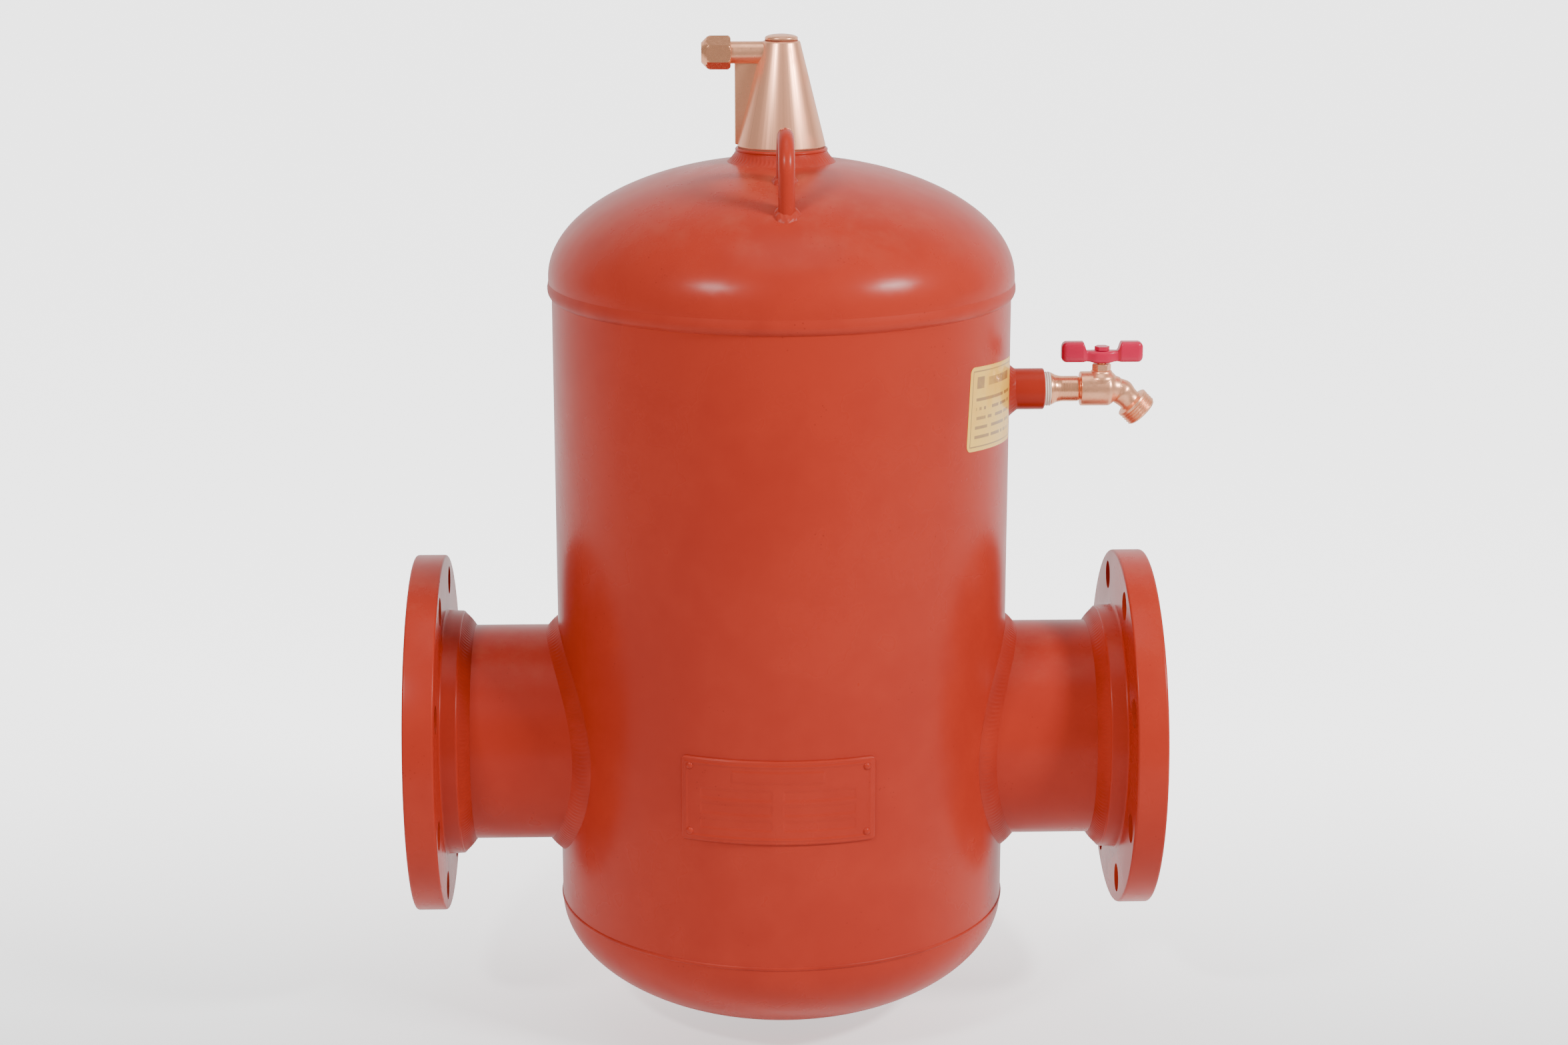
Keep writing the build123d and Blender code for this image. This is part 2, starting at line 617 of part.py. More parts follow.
with BuildPart() as vent_lever:
    hub_r = PIN_R + LEVER_THICKNESS
    tip = ROD_X - LEVER_TAIL
    with BuildSketch(AXIAL):
        with Locations((tip, PIVOT_Z)):
            Rectangle(PIVOT_OFFSET - tip, LEVER_THICKNESS, align=(Align.MIN, Align.CENTER))
        with Locations((PIVOT_OFFSET, PIVOT_Z)):
            Circle(hub_r)
    extrude(amount=LEVER_WIDTH / 2, both=True)
    with BuildSketch(AXIAL):
        with Locations((PIVOT_OFFSET, PIVOT_Z)):
            Circle(PIN_R + PIN_CLEARANCE)
    extrude(amount=LEVER_WIDTH, both=True, mode=Mode.SUBTRACT)
    with BuildSketch(level(PIVOT_Z)):
        with Locations((ROD_X - SLOT_SHIFT, 0)):
            SlotOverall(LEVER_SLOT_LENGTH, LEVER_SLOT_WIDTH)
    extrude(amount=LEVER_THICKNESS, both=True, mode=Mode.SUBTRACT)
save(vent_lever, "vent_lever")

with BuildPart() as lever_seal:
    with BuildSketch(level(PIVOT_Z + LEVER_THICKNESS / 2)):
        Circle(SEAL_R)
    extrude(amount=LIP_Z - SEAL_GAP - PIVOT_Z - LEVER_THICKNESS / 2)
save(lever_seal, "lever_seal")

FLOAT_Z = PIVOT_Z - FLOAT_BELOW_LEVER - FLOAT_HEIGHT
with BuildPart() as vent_float:
    with BuildSketch(level(FLOAT_Z)):
        Circle(FLOAT_R)
    extrude(amount=FLOAT_HEIGHT)
    fillet(vent_float.edges().filter_by(GeomType.CIRCLE), FLOAT_R / 3)
    with BuildSketch(level(FLOAT_Z + FLOAT_HEIGHT)):
        with Locations((ROD_X, 0)):
            Circle(ROD_R)
    extrude(amount=-ROD_SOCKET, mode=Mode.SUBTRACT)
save(vent_float, "vent_float")

with BuildPart() as float_rod:
    rod_foot = FLOAT_Z + FLOAT_HEIGHT - ROD_SOCKET
    rod_head = PIVOT_Z + ROD_PLAY / 2
    with BuildSketch(level(rod_foot)):
        with Locations((ROD_X, 0)):
            Circle(ROD_R)
    extrude(amount=rod_head - rod_foot)
    for height in (rod_head, PIVOT_Z - ROD_PLAY / 2 - ROD_R):
        with BuildSketch(level(height)):
            with Locations((ROD_X, 0)):
                Circle(COLLAR_R)
        extrude(amount=ROD_R)
save(float_rod, "float_rod")

# ---------------------------------------------------------------- lifting lugs
LUG_ARC_Z = LUG_TOP - LUG_BAR / 2 - LUG_BEND
LUG_FOOT_Z = dome_height(LUG_PLACE + LUG_BEND + LUG_BAR) - TOP_WALL

with BuildPart() as dome_solid:
    with BuildSketch(AXIAL):
        with Locations((0, TOP_TANGENT)):
            Ellipse(TOP_R, TOP_DEPTH)
            Rectangle(TOP_R, TOP_DEPTH, align=(Align.MIN, Align.MIN), mode=Mode.INTERSECT)
    revolve(axis=VESSEL_AXIS)

with BuildPart() as front_bar:
    with BuildLine(Plane(origin=(AXIS_X, 0, 0), x_dir=(0, 1, 0), z_dir=(1, 0, 0))) as bend:
        near = -LUG_PLACE - LUG_BEND
        far = -LUG_PLACE + LUG_BEND
        Line((near, LUG_FOOT_Z), (near, LUG_ARC_Z))
        CenterArc((-LUG_PLACE, LUG_ARC_Z), LUG_BEND, 180, -180)
        Line((far, LUG_ARC_Z), (far, LUG_FOOT_Z))
    with BuildSketch(Plane(origin=(AXIS_X, near, LUG_FOOT_Z))):
        Circle(LUG_BAR / 2)
    sweep(path=bend.wires()[0])

lug_ring = weld_ring(dome_solid.part, front_bar.part, SMALL_WELD_LEG / 2)

with BuildPart() as front_lifting_lug:
    add(front_bar.part)
    add(dome_solid.part, mode=Mode.SUBTRACT)
save(front_lifting_lug, "front_lifting_lug")

with BuildPart() as rear_lifting_lug:
    mirror(front_lifting_lug.part, about=Plane.XZ)
save(rear_lifting_lug, "rear_lifting_lug")

with BuildPart() as lug_welds:
    add(lug_ring.part)
    mirror(lug_ring.part, about=Plane.XZ)
save(lug_welds, "lug_welds")


# ---------------------------------------------------------------- skim coupling
def skim_tube(start, end, outer_r, inner_r):
    """Plain ring on the skim axis, its ends given from the vessel's axis."""
    with BuildPart() as ring:
        with BuildSketch(SKIM_PLANE.offset(start)):
            Circle(outer_r)
            Circle(inner_r, mode=Mode.SUBTRACT)
        extrude(amount=end - start)
    return ring


with BuildPart() as skim_coupling:
    add(skim_tube(0, COUPLING_END, COUPLING_OD / 2, PIPE_THREAD_R + THREAD_CLEARANCE).part)
    with BuildSketch(level(SKIM_HEIGHT - COUPLING_OD)):
        Circle(SHELL_IN_R)
    extrude(amount=2 * COUPLING_OD, mode=Mode.SUBTRACT)
    mouth = skim_coupling.edges().filter_by(GeomType.CIRCLE).group_by(Axis.X)[-1].sort_by(SortBy.RADIUS)[-1]
    chamfer(mouth, ROOT_GAP)
save(skim_coupling, "skim_coupling")

with BuildPart() as skim_coupling_weld:
    tube_r = COUPLING_OD / 2
    root_x = SHELL_R - tube_r ** 2 / SHELL_R
    with BuildSketch(SKIM_SECTION):
        with BuildLine():
            Polyline(
                (root_x, tube_r),
                (root_x, tube_r + COUPLING_WELD_TOE + SHELL_R - root_x),
                (SHELL_R, tube_r + COUPLING_WELD_TOE),
                (SHELL_R + COUPLING_WELD_LEG, tube_r),
                close=True,
            )
        make_face()
    revolve(axis=SKIM_AXIS)
    add(shell_solid.part, mode=Mode.SUBTRACT)
save(skim_coupling_weld, "skim_coupling_weld")

thread_tape = skim_tube(COUPLING_END, ADAPTER_START - ROOT_GAP, TAPE_R, PIPE_THREAD_R + THREAD_CLEARANCE)
save(thread_tape, "thread_tape")

# ---------------------------------------------------------------- quarter-turn valve
ADAPTER_TAIL = COUPLING_END - PIPE_THREAD_LENGTH
POCKET_R = BALL_R + POCKET_CLEARANCE
BODY_END = BODY_START + VALVE_BODY_LENGTH
BORE_HALF = sqrt(BALL_R ** 2 - VALVE_BORE_R ** 2)
SEAT_BACK = BORE_HALF + SEAT_THICKNESS
NECK_END = OUTLET_NECK_LENGTH + HOSE_THREAD_LENGTH / 2
OUTLET_RUN = Vector(cos(radians(OUTLET_ANGLE)), 0, -sin(radians(OUTLET_ANGLE)))
BEND = Vector(AXIS_X + BEND_X, 0, SKIM_HEIGHT)
OUTLET_PLANE = Plane(origin=BEND, x_dir=(0, 1, 0), z_dir=OUTLET_RUN)

with BuildPart() as valve_inlet_adapter:
    with BuildSketch(SKIM_SECTION):
        with BuildLine():
            Polyline(
                (ADAPTER_TAIL, 0),
                (ADAPTER_TAIL, PIPE_THREAD_R),
                (ADAPTER_START, PIPE_THREAD_R),
                (ADAPTER_START, PIPE_THREAD_R - ROOT_GAP),
                (ADAPTER_START + VALVE_FLARE_LENGTH, VALVE_NECK_R),
                (BODY_START - NECK_GROOVE, VALVE_NECK_R),
                (BODY_START - NECK_GROOVE, VALVE_NECK_R - NECK_GROOVE),
                (BODY_START, VALVE_NECK_R - NECK_GROOVE),
                (BODY_START, VALVE_SCREW_R - THREAD_CLEARANCE),
                (BALL_X - SEAT_BACK, VALVE_SCREW_R - THREAD_CLEARANCE),
                (BALL_X - SEAT_BACK, 0),
                close=True,
            )
        make_face()
    revolve(axis=SKIM_AXIS)
    with BuildSketch(SKIM_PLANE.offset(ADAPTER_TAIL)):
        Circle(VALVE_BORE_R)
    extrude(amount=BODY_START, mode=Mode.SUBTRACT)
save(valve_inlet_adapter, "valve_inlet_adapter")

with BuildPart() as valve_body:
    with BuildSketch(SKIM_PLANE.offset(BODY_START)):
        Circle(VALVE_BODY_R)
    extrude(amount=VALVE_BODY_LENGTH)
    rims = valve_body.edges().filter_by(GeomType.CIRCLE)
    fillet(rims, BODY_ROUND)
    with BuildLine(SKIM_SECTION) as outlet_run:
        FilletPolyline(
            (BODY_END - BODY_ROUND, 0),
            (BEND_X, 0),
            (BEND_X + NECK_END * OUTLET_RUN.X, NECK_END * OUTLET_RUN.Z),
            radius=OUTLET_BEND,
        )
    with BuildSketch(SKIM_PLANE.offset(BODY_END - BODY_ROUND)):
        Circle(OUTLET_NECK_R)
    sweep(path=outlet_run.wires()[0])
    with BuildSketch(OUTLET_PLANE.offset(OUTLET_NECK_LENGTH)):
        Circle(HOSE_THREAD_R)
    extrude(amount=HOSE_THREAD_LENGTH)
    ends = valve_body.edges().filter_by(GeomType.CIRCLE).sort_by(Axis(BEND, OUTLET_RUN))[-1]
    chamfer(ends, HOSE_BEVEL)
    with BuildSketch(STEM_PLANE):
        Circle(BONNET_R)
    extrude(amount=BONNET_TOP)
    # ball pocket and inlet screw, outlet passage, stem hole and gland
    with BuildSketch(SKIM_PLANE.offset(BODY_START)):
        Circle(VALVE_SCREW_R)
    extrude(amount=BALL_X - SEAT_BACK - BODY_START, mode=Mode.SUBTRACT)
    with BuildSketch(SKIM_PLANE.offset(BALL_X - SEAT_BACK)):
        Circle(POCKET_R)
    extrude(amount=2 * SEAT_BACK, mode=Mode.SUBTRACT)
    with BuildSketch(SKIM_PLANE.offset(BALL_X)):
        Circle(VALVE_BORE_R)
    extrude(amount=BODY_END - BODY_ROUND - BALL_X, mode=Mode.SUBTRACT)
    with BuildSketch(SKIM_PLANE.offset(BODY_END - BODY_ROUND)):
        Circle(VALVE_BORE_R)
    sweep(path=outlet_run.wires()[0], mode=Mode.SUBTRACT)
    with BuildSketch(OUTLET_PLANE.offset(OUTLET_NECK_LENGTH + HOSE_THREAD_LENGTH)):
        Circle(VALVE_BORE_R)
    extrude(amount=-HOSE_THREAD_LENGTH, mode=Mode.SUBTRACT)
    with BuildSketch(STEM_PLANE):
        Circle(STEM_R + PIN_CLEARANCE)
    extrude(amount=BONNET_TOP, mode=Mode.SUBTRACT)
    with BuildSketch(STEM_PLANE.offset(BONNET_TOP)):
        Circle(GLAND_R)
    extrude(amount=-GLAND_DEPTH, mode=Mode.SUBTRACT)
save(valve_body, "valve_body")

with BuildPart() as valve_ball:
    with Locations((AXIS_X + BALL_X, 0, SKIM_HEIGHT)):
        Sphere(BALL_R)
    with BuildSketch(SKIM_PLANE.offset(BALL_X - BALL_R)):
        Circle(VALVE_BORE_R)
    extrude(amount=2 * BALL_R, mode=Mode.SUBTRACT)
    with BuildSketch(STEM_PLANE.offset(BALL_R - TANG_DEPTH)):
        Rectangle(2 * STEM_R, STEM_R)
    extrude(amount=2 * TANG_DEPTH, mode=Mode.SUBTRACT)
save(valve_ball, "valve_ball")

with BuildPart() as ball_seats:
    for start in (BALL_X - SEAT_BACK, BALL_X + BORE_HALF):
        with BuildSketch(SKIM_PLANE.offset(start)):
            Circle(POCKET_R - PIN_CLEARANCE)
            Circle(VALVE_BORE_R + SEAT_EASING, mode=Mode.SUBTRACT)
        extrude(amount=SEAT_THICKNESS)
    with Locations((AXIS_X + BALL_X, 0, SKIM_HEIGHT)):
        Sphere(BALL_R + BALL_CLEARANCE, mode=Mode.SUBTRACT)
save(ball_seats, "ball_seats")

GLAND_FLOOR = BONNET_TOP - GLAND_DEPTH
NUT_TOP = BONNET_TOP + PACKING_NUT_HEIGHT
HANDLE_Z = NUT_TOP + HANDLE_GAP

with BuildPart() as stem_packing:
    with BuildSketch(STEM_PLANE.offset(GLAND_FLOOR)):
        Circle(GLAND_R - PIN_CLEARANCE)
        Circle(STEM_R + PIN_CLEARANCE, mode=Mode.SUBTRACT)
    extrude(amount=PACKING_HEIGHT)
save(stem_packing, "stem_packing")

with BuildPart() as packing_nut:
    with BuildSketch(STEM_PLANE.offset(GLAND_FLOOR + PACKING_HEIGHT)):
        Circle(GLAND_R - THREAD_CLEARANCE)
    extrude(amount=BONNET_TOP - GLAND_FLOOR - PACKING_HEIGHT)
    with BuildSketch(STEM_PLANE.offset(BONNET_TOP)):
        RegularPolygon(PACKING_NUT_FLATS / 2, 6, major_radius=False)
    extrude(amount=PACKING_NUT_HEIGHT)
    with BuildSketch(STEM_PLANE.offset(GLAND_FLOOR)):
        Circle(STEM_R + PIN_CLEARANCE)
    extrude(amount=NUT_TOP, mode=Mode.SUBTRACT)
save(packing_nut, "packing_nut")

STEM_TOP = HANDLE_Z + HANDLE_BAR_HEIGHT - STEM_SHY
with BuildPart() as valve_stem:
    with BuildSketch(STEM_PLANE.offset(BALL_R - TANG_DEPTH + PIN_CLEARANCE)):
        Rectangle(2 * STEM_R - 2 * THREAD_CLEARANCE, STEM_R - 2 * THREAD_CLEARANCE)
    extrude(amount=TANG_DEPTH)
    with BuildSketch(STEM_PLANE.offset(BALL_R + PIN_CLEARANCE)):
        Circle(STEM_R)
    extrude(amount=HANDLE_Z - BALL_R - PIN_CLEARANCE)
    with BuildSketch(STEM_PLANE.offset(HANDLE_Z)):
        Circle(STEM_R)
        Rectangle(2 * STEM_R, STEM_FLAT, mode=Mode.INTERSECT)
    extrude(amount=STEM_TOP - HANDLE_Z)
save(valve_stem, "valve_stem")

with BuildPart() as valve_handle:
    wing_start = HANDLE_SPAN / 2 - HANDLE_WING_LENGTH
    with BuildSketch(Plane(origin=STEM_PLANE.origin, x_dir=(1, 0, 0), z_dir=(0, -1, 0))):
        with Locations((0, HANDLE_Z)):
            Rectangle(HANDLE_SPAN, HANDLE_BAR_HEIGHT, align=(Align.CENTER, Align.MIN))
        for side in (-1, 1):
            with Locations((side * (wing_start + HANDLE_WING_LENGTH / 2), HANDLE_Z)):
                Rectangle(HANDLE_WING_LENGTH, HANDLE_WING_HEIGHT, align=(Align.CENTER, Align.MIN))
    extrude(amount=HANDLE_DEPTH / 2, both=True)
    fillet(valve_handle.edges().filter_by(Axis.Y), HANDLE_ROUND)
    fillet(valve_handle.edges().filter_by(Axis.Z), HANDLE_ROUND)
    with BuildSketch(STEM_PLANE.offset(HANDLE_Z)):
        Circle(STEM_R)
        Rectangle(2 * STEM_R, STEM_FLAT, mode=Mode.INTERSECT)
    extrude(amount=HANDLE_BAR_HEIGHT, mode=Mode.SUBTRACT)
save(valve_handle, "valve_handle")

with BuildPart() as handle_nut:
    with BuildSketch(STEM_PLANE.offset(HANDLE_Z + HANDLE_BAR_HEIGHT)):
        RegularPolygon(HANDLE_NUT_FLATS / 2, 6, major_radius=False)
    extrude(amount=HANDLE_NUT_HEIGHT)
save(handle_nut, "handle_nut")


# ---------------------------------------------------------------- plate and label on the shell
def wrapped_patch(inner_r, thickness, arc_width, height, corner, centre, centre_z, tilt=0.0):
    """Patch of constant thickness that follows the shell, its corners rounded."""
    turn = radians(centre)
    outwards = Vector(sin(turn), -cos(turn), 0)
    chord = 2 * (inner_r + thickness) * sin(arc_width / inner_r / 2)
    facing = Plane(origin=(AXIS_X, 0, centre_z), x_dir=(cos(turn), sin(turn), 0), z_dir=outwards)
    with BuildPart() as patch:
        with BuildSketch(facing):
            RectangleRounded(chord, height, corner, rotation=tilt)
        extrude(amount=inner_r + 2 * thickness)
        with BuildSketch(level(centre_z - height)):
            Circle(inner_r + thickness)
            Circle(inner_r, mode=Mode.SUBTRACT)
        extrude(amount=2 * height, mode=Mode.INTERSECT)
    return patch


name_plate = wrapped_patch(
    SHELL_R, PLATE_THICKNESS, PLATE_ARC_WIDTH, PLATE_HEIGHT, PLATE_CORNER, PLATE_CENTRE, 0
)
save(name_plate, "name_plate")

with BuildPart() as name_plate_tacks:
    reach = degrees((PLATE_ARC_WIDTH / 2 - TACK_INSET) / SHELL_R)
    for side in (-1, 1):
        turn = radians(PLATE_CENTRE + side * reach)
        outwards = Vector(sin(turn), -cos(turn), 0)
        for height in (-PLATE_HEIGHT / 2 + TACK_INSET, PLATE_HEIGHT / 2 - TACK_INSET):
            foot = Vector(AXIS_X, 0, height) + outwards * (SHELL_R + PLATE_THICKNESS)
            with BuildSketch(Plane(origin=foot - outwards * TACK_ROOT, x_dir=(0, 0, 1), z_dir=outwards)):
                Circle(TACK_R)
            extrude(amount=TACK_ROOT + TACK_RISE)
    with BuildSketch(level(-PLATE_HEIGHT)):
        Circle(SHELL_R + PLATE_THICKNESS)
    extrude(amount=2 * PLATE_HEIGHT, mode=Mode.SUBTRACT)
save(name_plate_tacks, "name_plate_tacks")

label = wrapped_patch(
    SHELL_R, LABEL_THICKNESS, LABEL_ARC_WIDTH, LABEL_HEIGHT, LABEL_CORNER, LABEL_CENTRE, LABEL_CENTRE_Z, LABEL_TILT
)
save(label, "label")

# ---------------------------------------------------------------- coalescing bundle
def ring(radius, start):
    """Six tube places evenly round a circle."""
    turns = [radians(start + 60 * step) for step in range(6)]
    return [(radius * cos(turn), radius * sin(turn)) for turn in turns]


RING_LOCS = [(0, 0)] + ring(TUBE_PITCH, 0) + ring(sqrt(3) * TUBE_PITCH, 30) + ring(2 * TUBE_PITCH, 0)
PLATE_R = SHELL_IN_R - BUNDLE_CLEARANCE
TIE_R = TUBE_PITCH * sqrt(7 / 3)
TIE_TURN = degrees(atan2(sqrt(3) / 6, 1.5))

with BuildPart() as core_tubes:
    with BuildSketch(level(-BUNDLE_HALF_HEIGHT)):
        with Locations(*RING_LOCS):
            Circle(CORE_R)
        with Locations(*RING_LOCS):
            Circle(CORE_R - CORE_WALL, mode=Mode.SUBTRACT)
    extrude(amount=2 * BUNDLE_HALF_HEIGHT)
save(core_tubes, "core_tubes")

with BuildPart() as wire_media:
    with BuildSketch(level(-BUNDLE_HALF_HEIGHT + 2 * BUNDLE_PLATE)):
        with Locations(*RING_LOCS):
            Circle(MEDIA_R)
        with Locations(*RING_LOCS):
            Circle(MEDIA_R - MEDIA_WALL, mode=Mode.SUBTRACT)
    extrude(amount=2 * BUNDLE_HALF_HEIGHT - 4 * BUNDLE_PLATE)
save(wire_media, "wire_media")


def build_bundle_plate(base):
    """Round plate that holds the core tubes' ends, with holes for the tie rods."""
    with BuildPart() as plate:
        with BuildSketch(level(base)):
            Circle(PLATE_R)
            with Locations(*RING_LOCS):
                Circle(CORE_R + THREAD_CLEARANCE, mode=Mode.SUBTRACT)
            with PolarLocations(TIE_R, 3, start_angle=TIE_TURN):
                Circle(TIE_ROD_R + THREAD_CLEARANCE, mode=Mode.SUBTRACT)
        extrude(amount=BUNDLE_PLATE)
    return plate


bundle_bottom_plate = build_bundle_plate(-BUNDLE_HALF_HEIGHT)
save(bundle_bottom_plate, "bundle_bottom_plate")
bundle_top_plate = build_bundle_plate(BUNDLE_HALF_HEIGHT - BUNDLE_PLATE)
save(bundle_top_plate, "bundle_top_plate")

with BuildPart() as tie_rods:
    tie_half = BUNDLE_HALF_HEIGHT + NUT_HEIGHT + TIE_ROD_END
    with BuildSketch(level(-tie_half)):
        with PolarLocations(TIE_R, 3, start_angle=TIE_TURN):
            Circle(TIE_ROD_R)
    extrude(amount=2 * tie_half)
save(tie_rods, "tie_rods")

with BuildPart() as tie_rod_nuts:
    for base in (-BUNDLE_HALF_HEIGHT - NUT_HEIGHT, BUNDLE_HALF_HEIGHT):
        with BuildSketch(level(base)):
            with PolarLocations(TIE_R, 3, start_angle=TIE_TURN):
                RegularPolygon(NUT_FLATS / 2, 6, major_radius=False)
            with PolarLocations(TIE_R, 3, start_angle=TIE_TURN):
                Circle(TIE_ROD_R + THREAD_CLEARANCE, mode=Mode.SUBTRACT)
        extrude(amount=NUT_HEIGHT)
save(tie_rod_nuts, "tie_rod_nuts")

with BuildPart() as bundle_supports:
    with BuildSketch(level(-BUNDLE_HALF_HEIGHT - SUPPORT_HEIGHT)):
        with PolarLocations(SHELL_IN_R - SUPPORT_DEPTH / 2, 4, start_angle=45):
            Rectangle(2 * SUPPORT_DEPTH, SUPPORT_WIDTH)
        Circle(SHELL_IN_R, mode=Mode.INTERSECT)
        Circle(SHELL_IN_R - SUPPORT_DEPTH, mode=Mode.SUBTRACT)
    extrude(amount=SUPPORT_HEIGHT)
save(bundle_supports, "bundle_supports")
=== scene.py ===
"""Looks of a flanged in-line air separator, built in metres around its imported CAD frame.

The vessel's steel keeps its CAD solids and gets paint. Welds, flanges, the vent, the skim valve, the plate,
the label and the wire windings are surfaces worked out here as functions on a grid.
"""
from __future__ import annotations

import logging
import math
from dataclasses import dataclass
from enum import Enum
from typing import Callable, Sequence

import bmesh
import bpy
import numpy as np
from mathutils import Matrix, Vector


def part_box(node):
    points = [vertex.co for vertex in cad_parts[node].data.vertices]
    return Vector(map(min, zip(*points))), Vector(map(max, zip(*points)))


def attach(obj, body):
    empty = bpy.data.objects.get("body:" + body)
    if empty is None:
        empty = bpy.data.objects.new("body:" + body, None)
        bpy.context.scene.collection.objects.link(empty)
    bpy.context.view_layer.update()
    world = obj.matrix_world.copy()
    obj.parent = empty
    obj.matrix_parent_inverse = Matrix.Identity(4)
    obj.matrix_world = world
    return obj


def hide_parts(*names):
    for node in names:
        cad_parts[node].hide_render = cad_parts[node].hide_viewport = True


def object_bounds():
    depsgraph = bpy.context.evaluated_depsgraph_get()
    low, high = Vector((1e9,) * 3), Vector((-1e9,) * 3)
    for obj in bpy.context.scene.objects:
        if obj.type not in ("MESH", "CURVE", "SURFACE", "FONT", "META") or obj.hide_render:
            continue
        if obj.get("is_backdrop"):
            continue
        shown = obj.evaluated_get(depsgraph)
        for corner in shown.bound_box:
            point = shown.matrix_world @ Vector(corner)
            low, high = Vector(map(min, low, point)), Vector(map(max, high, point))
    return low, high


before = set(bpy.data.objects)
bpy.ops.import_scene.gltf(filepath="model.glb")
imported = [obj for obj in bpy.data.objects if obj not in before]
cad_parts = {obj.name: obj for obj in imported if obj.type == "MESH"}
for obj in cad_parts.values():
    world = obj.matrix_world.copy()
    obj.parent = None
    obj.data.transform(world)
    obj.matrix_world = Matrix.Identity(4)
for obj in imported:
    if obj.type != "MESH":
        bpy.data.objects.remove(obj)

LOG = logging.getLogger("air_separator")
TURN = 2.0 * math.pi
VESSEL = "vessel"
HANDLE = "handle"


# ------------------------------------------------------------------ grids and profiles
def unit(vector: Sequence[float]) -> np.ndarray:
    """The vector at length one."""
    array = np.asarray(vector, float)
    return array / np.linalg.norm(array)


def cross_basis(axis: Sequence[float]) -> tuple[np.ndarray, np.ndarray]:
    """Two unit vectors square to an axis and to each other.

    Args:
        axis: direction to build the basis round.

    Returns:
        The pair, the first as near upright as the axis lets it be.
    """
    along = unit(axis)
    helper = np.array([0.0, 0.0, 1.0]) if abs(along[2]) < 0.9 else np.array([1.0, 0.0, 0.0])
    first = unit(helper - along * (helper @ along))
    return first, np.cross(along, first)


def angles(steps: int) -> np.ndarray:
    """Evenly spaced angles of one full turn, without the repeated last one."""
    return np.linspace(0.0, TURN, steps, endpoint=False)


def smooth_step(low: float, high: float, value: np.ndarray) -> np.ndarray:
    """Hermite step: 3t squared less 2t cubed, with t the value's place between low and high."""
    place = np.clip((value - low) / (high - low), 0.0, 1.0)
    return place * place * (3.0 - 2.0 * place)


def eased(points: Sequence[tuple[float, float]], radius: float, closed: bool = False,
          steps: int = 4) -> np.ndarray:
    """Rounds a polyline's corners.

    Each corner P becomes the curve (1-s)^2 A + 2s(1-s) P + s^2 B, where A and B lie on its two sides, the
    radius away or nearly half the side if that is less.

    Args:
        points: corners in order.
        radius: distance from the corner at which the curve leaves each side.
        closed: whether the last point joins the first.
        steps: segments along each curve.

    Returns:
        The eased outline, an array of (n, 2).
    """
    corners = np.asarray(points, float)
    count = len(corners)
    share = np.linspace(0.0, 1.0, steps + 1)[:, None]
    pieces = []
    for index in range(count):
        here = corners[index]
        if not closed and index in (0, count - 1):
            pieces.append(here[None, :])
            continue
        back = corners[index - 1] - here
        ahead = corners[(index + 1) % count] - here
        reach_back = min(radius, 0.45 * np.linalg.norm(back))
        reach_ahead = min(radius, 0.45 * np.linalg.norm(ahead))
        start = here + unit(back) * reach_back
        end = here + unit(ahead) * reach_ahead
        pieces.append((1 - share) ** 2 * start + 2 * share * (1 - share) * here + share ** 2 * end)
    return np.concatenate(pieces)


def spun(profile: np.ndarray, centre: Sequence[float], axis: Sequence[float], steps: int,
         swell: Callable[[np.ndarray, np.ndarray], np.ndarray] | None = None) -> np.ndarray:
    """Surface of revolution: centre + along * axis + radius * (cos a * e1 + sin a * e2).

    Args:
        profile: (n, 2) array of distance along the axis and radius.
        centre: point on the axis where the distance is nought.
        axis: direction of the axis.
        steps: divisions round the turn.
        swell: adds to the radius, as a function of angle and distance along the axis.

    Returns:
        Points on a grid of (steps, n, 3).
    """
    along = unit(axis)
    first, second = cross_basis(along)
    turn = angles(steps)[:, None]
    radius = np.repeat(profile[None, :, 1], steps, axis=0)
    if swell is not None:
        radius = radius + swell(turn, profile[None, :, 0])
    offset = np.cos(turn)[..., None] * first + np.sin(turn)[..., None] * second
    return np.asarray(centre, float) + profile[None, :, 0, None] * along + radius[..., None] * offset


def tube_round(path: np.ndarray, radius: float | np.ndarray, sides: int, closed: bool = False) -> np.ndarray:
    """Round tube along a path, its rings square to the path's tangent.

    The ring's first direction is a fixed helper made square to the tangent, so the tube has no twist of its
    own where the path stays clear of the helper.

    Args:
        path: (n, 3) points.
        radius: one radius or one for each point.
        sides: points in a ring.
        closed: whether the path joins its own start.

    Returns:
        Points on a grid of (sides, n, 3).
    """
    if closed:
        tangent = np.roll(path, -1, axis=0) - np.roll(path, 1, axis=0)
    else:
        tangent = np.gradient(path, axis=0)
    tangent = tangent / np.linalg.norm(tangent, axis=1, keepdims=True)
    spread = np.abs(tangent).max(axis=0)
    helper = np.eye(3)[int(np.argmin(spread))]
    first = helper - tangent * (tangent @ helper)[:, None]
    first = first / np.linalg.norm(first, axis=1, keepdims=True)
    second = np.cross(tangent, first)
    turn = angles(sides)[:, None, None]
    size = np.broadcast_to(np.asarray(radius, float), (len(path),))[None, :, None]
    return path[None] + size * (np.cos(turn) * first[None] + np.sin(turn) * second[None])


def scallops(turns: np.ndarray, section: np.ndarray, lag: float = 0.9) -> np.ndarray:
    """Stacked ripples of a weld bead: 1 - |sin| of the pass number, bowed back towards the toes.

    Args:
        turns: ripple count along the bead, growing by one for each ripple.
        section: place across the bead, from 0 to 1.
        lag: how far a ripple's toes trail its middle, in ripples.

    Returns:
        Height from 0 to 1.
    """
    bow = lag * (2.0 * section - 1.0) ** 2
    return 1.0 - np.abs(np.sin(math.pi * (turns + bow)))


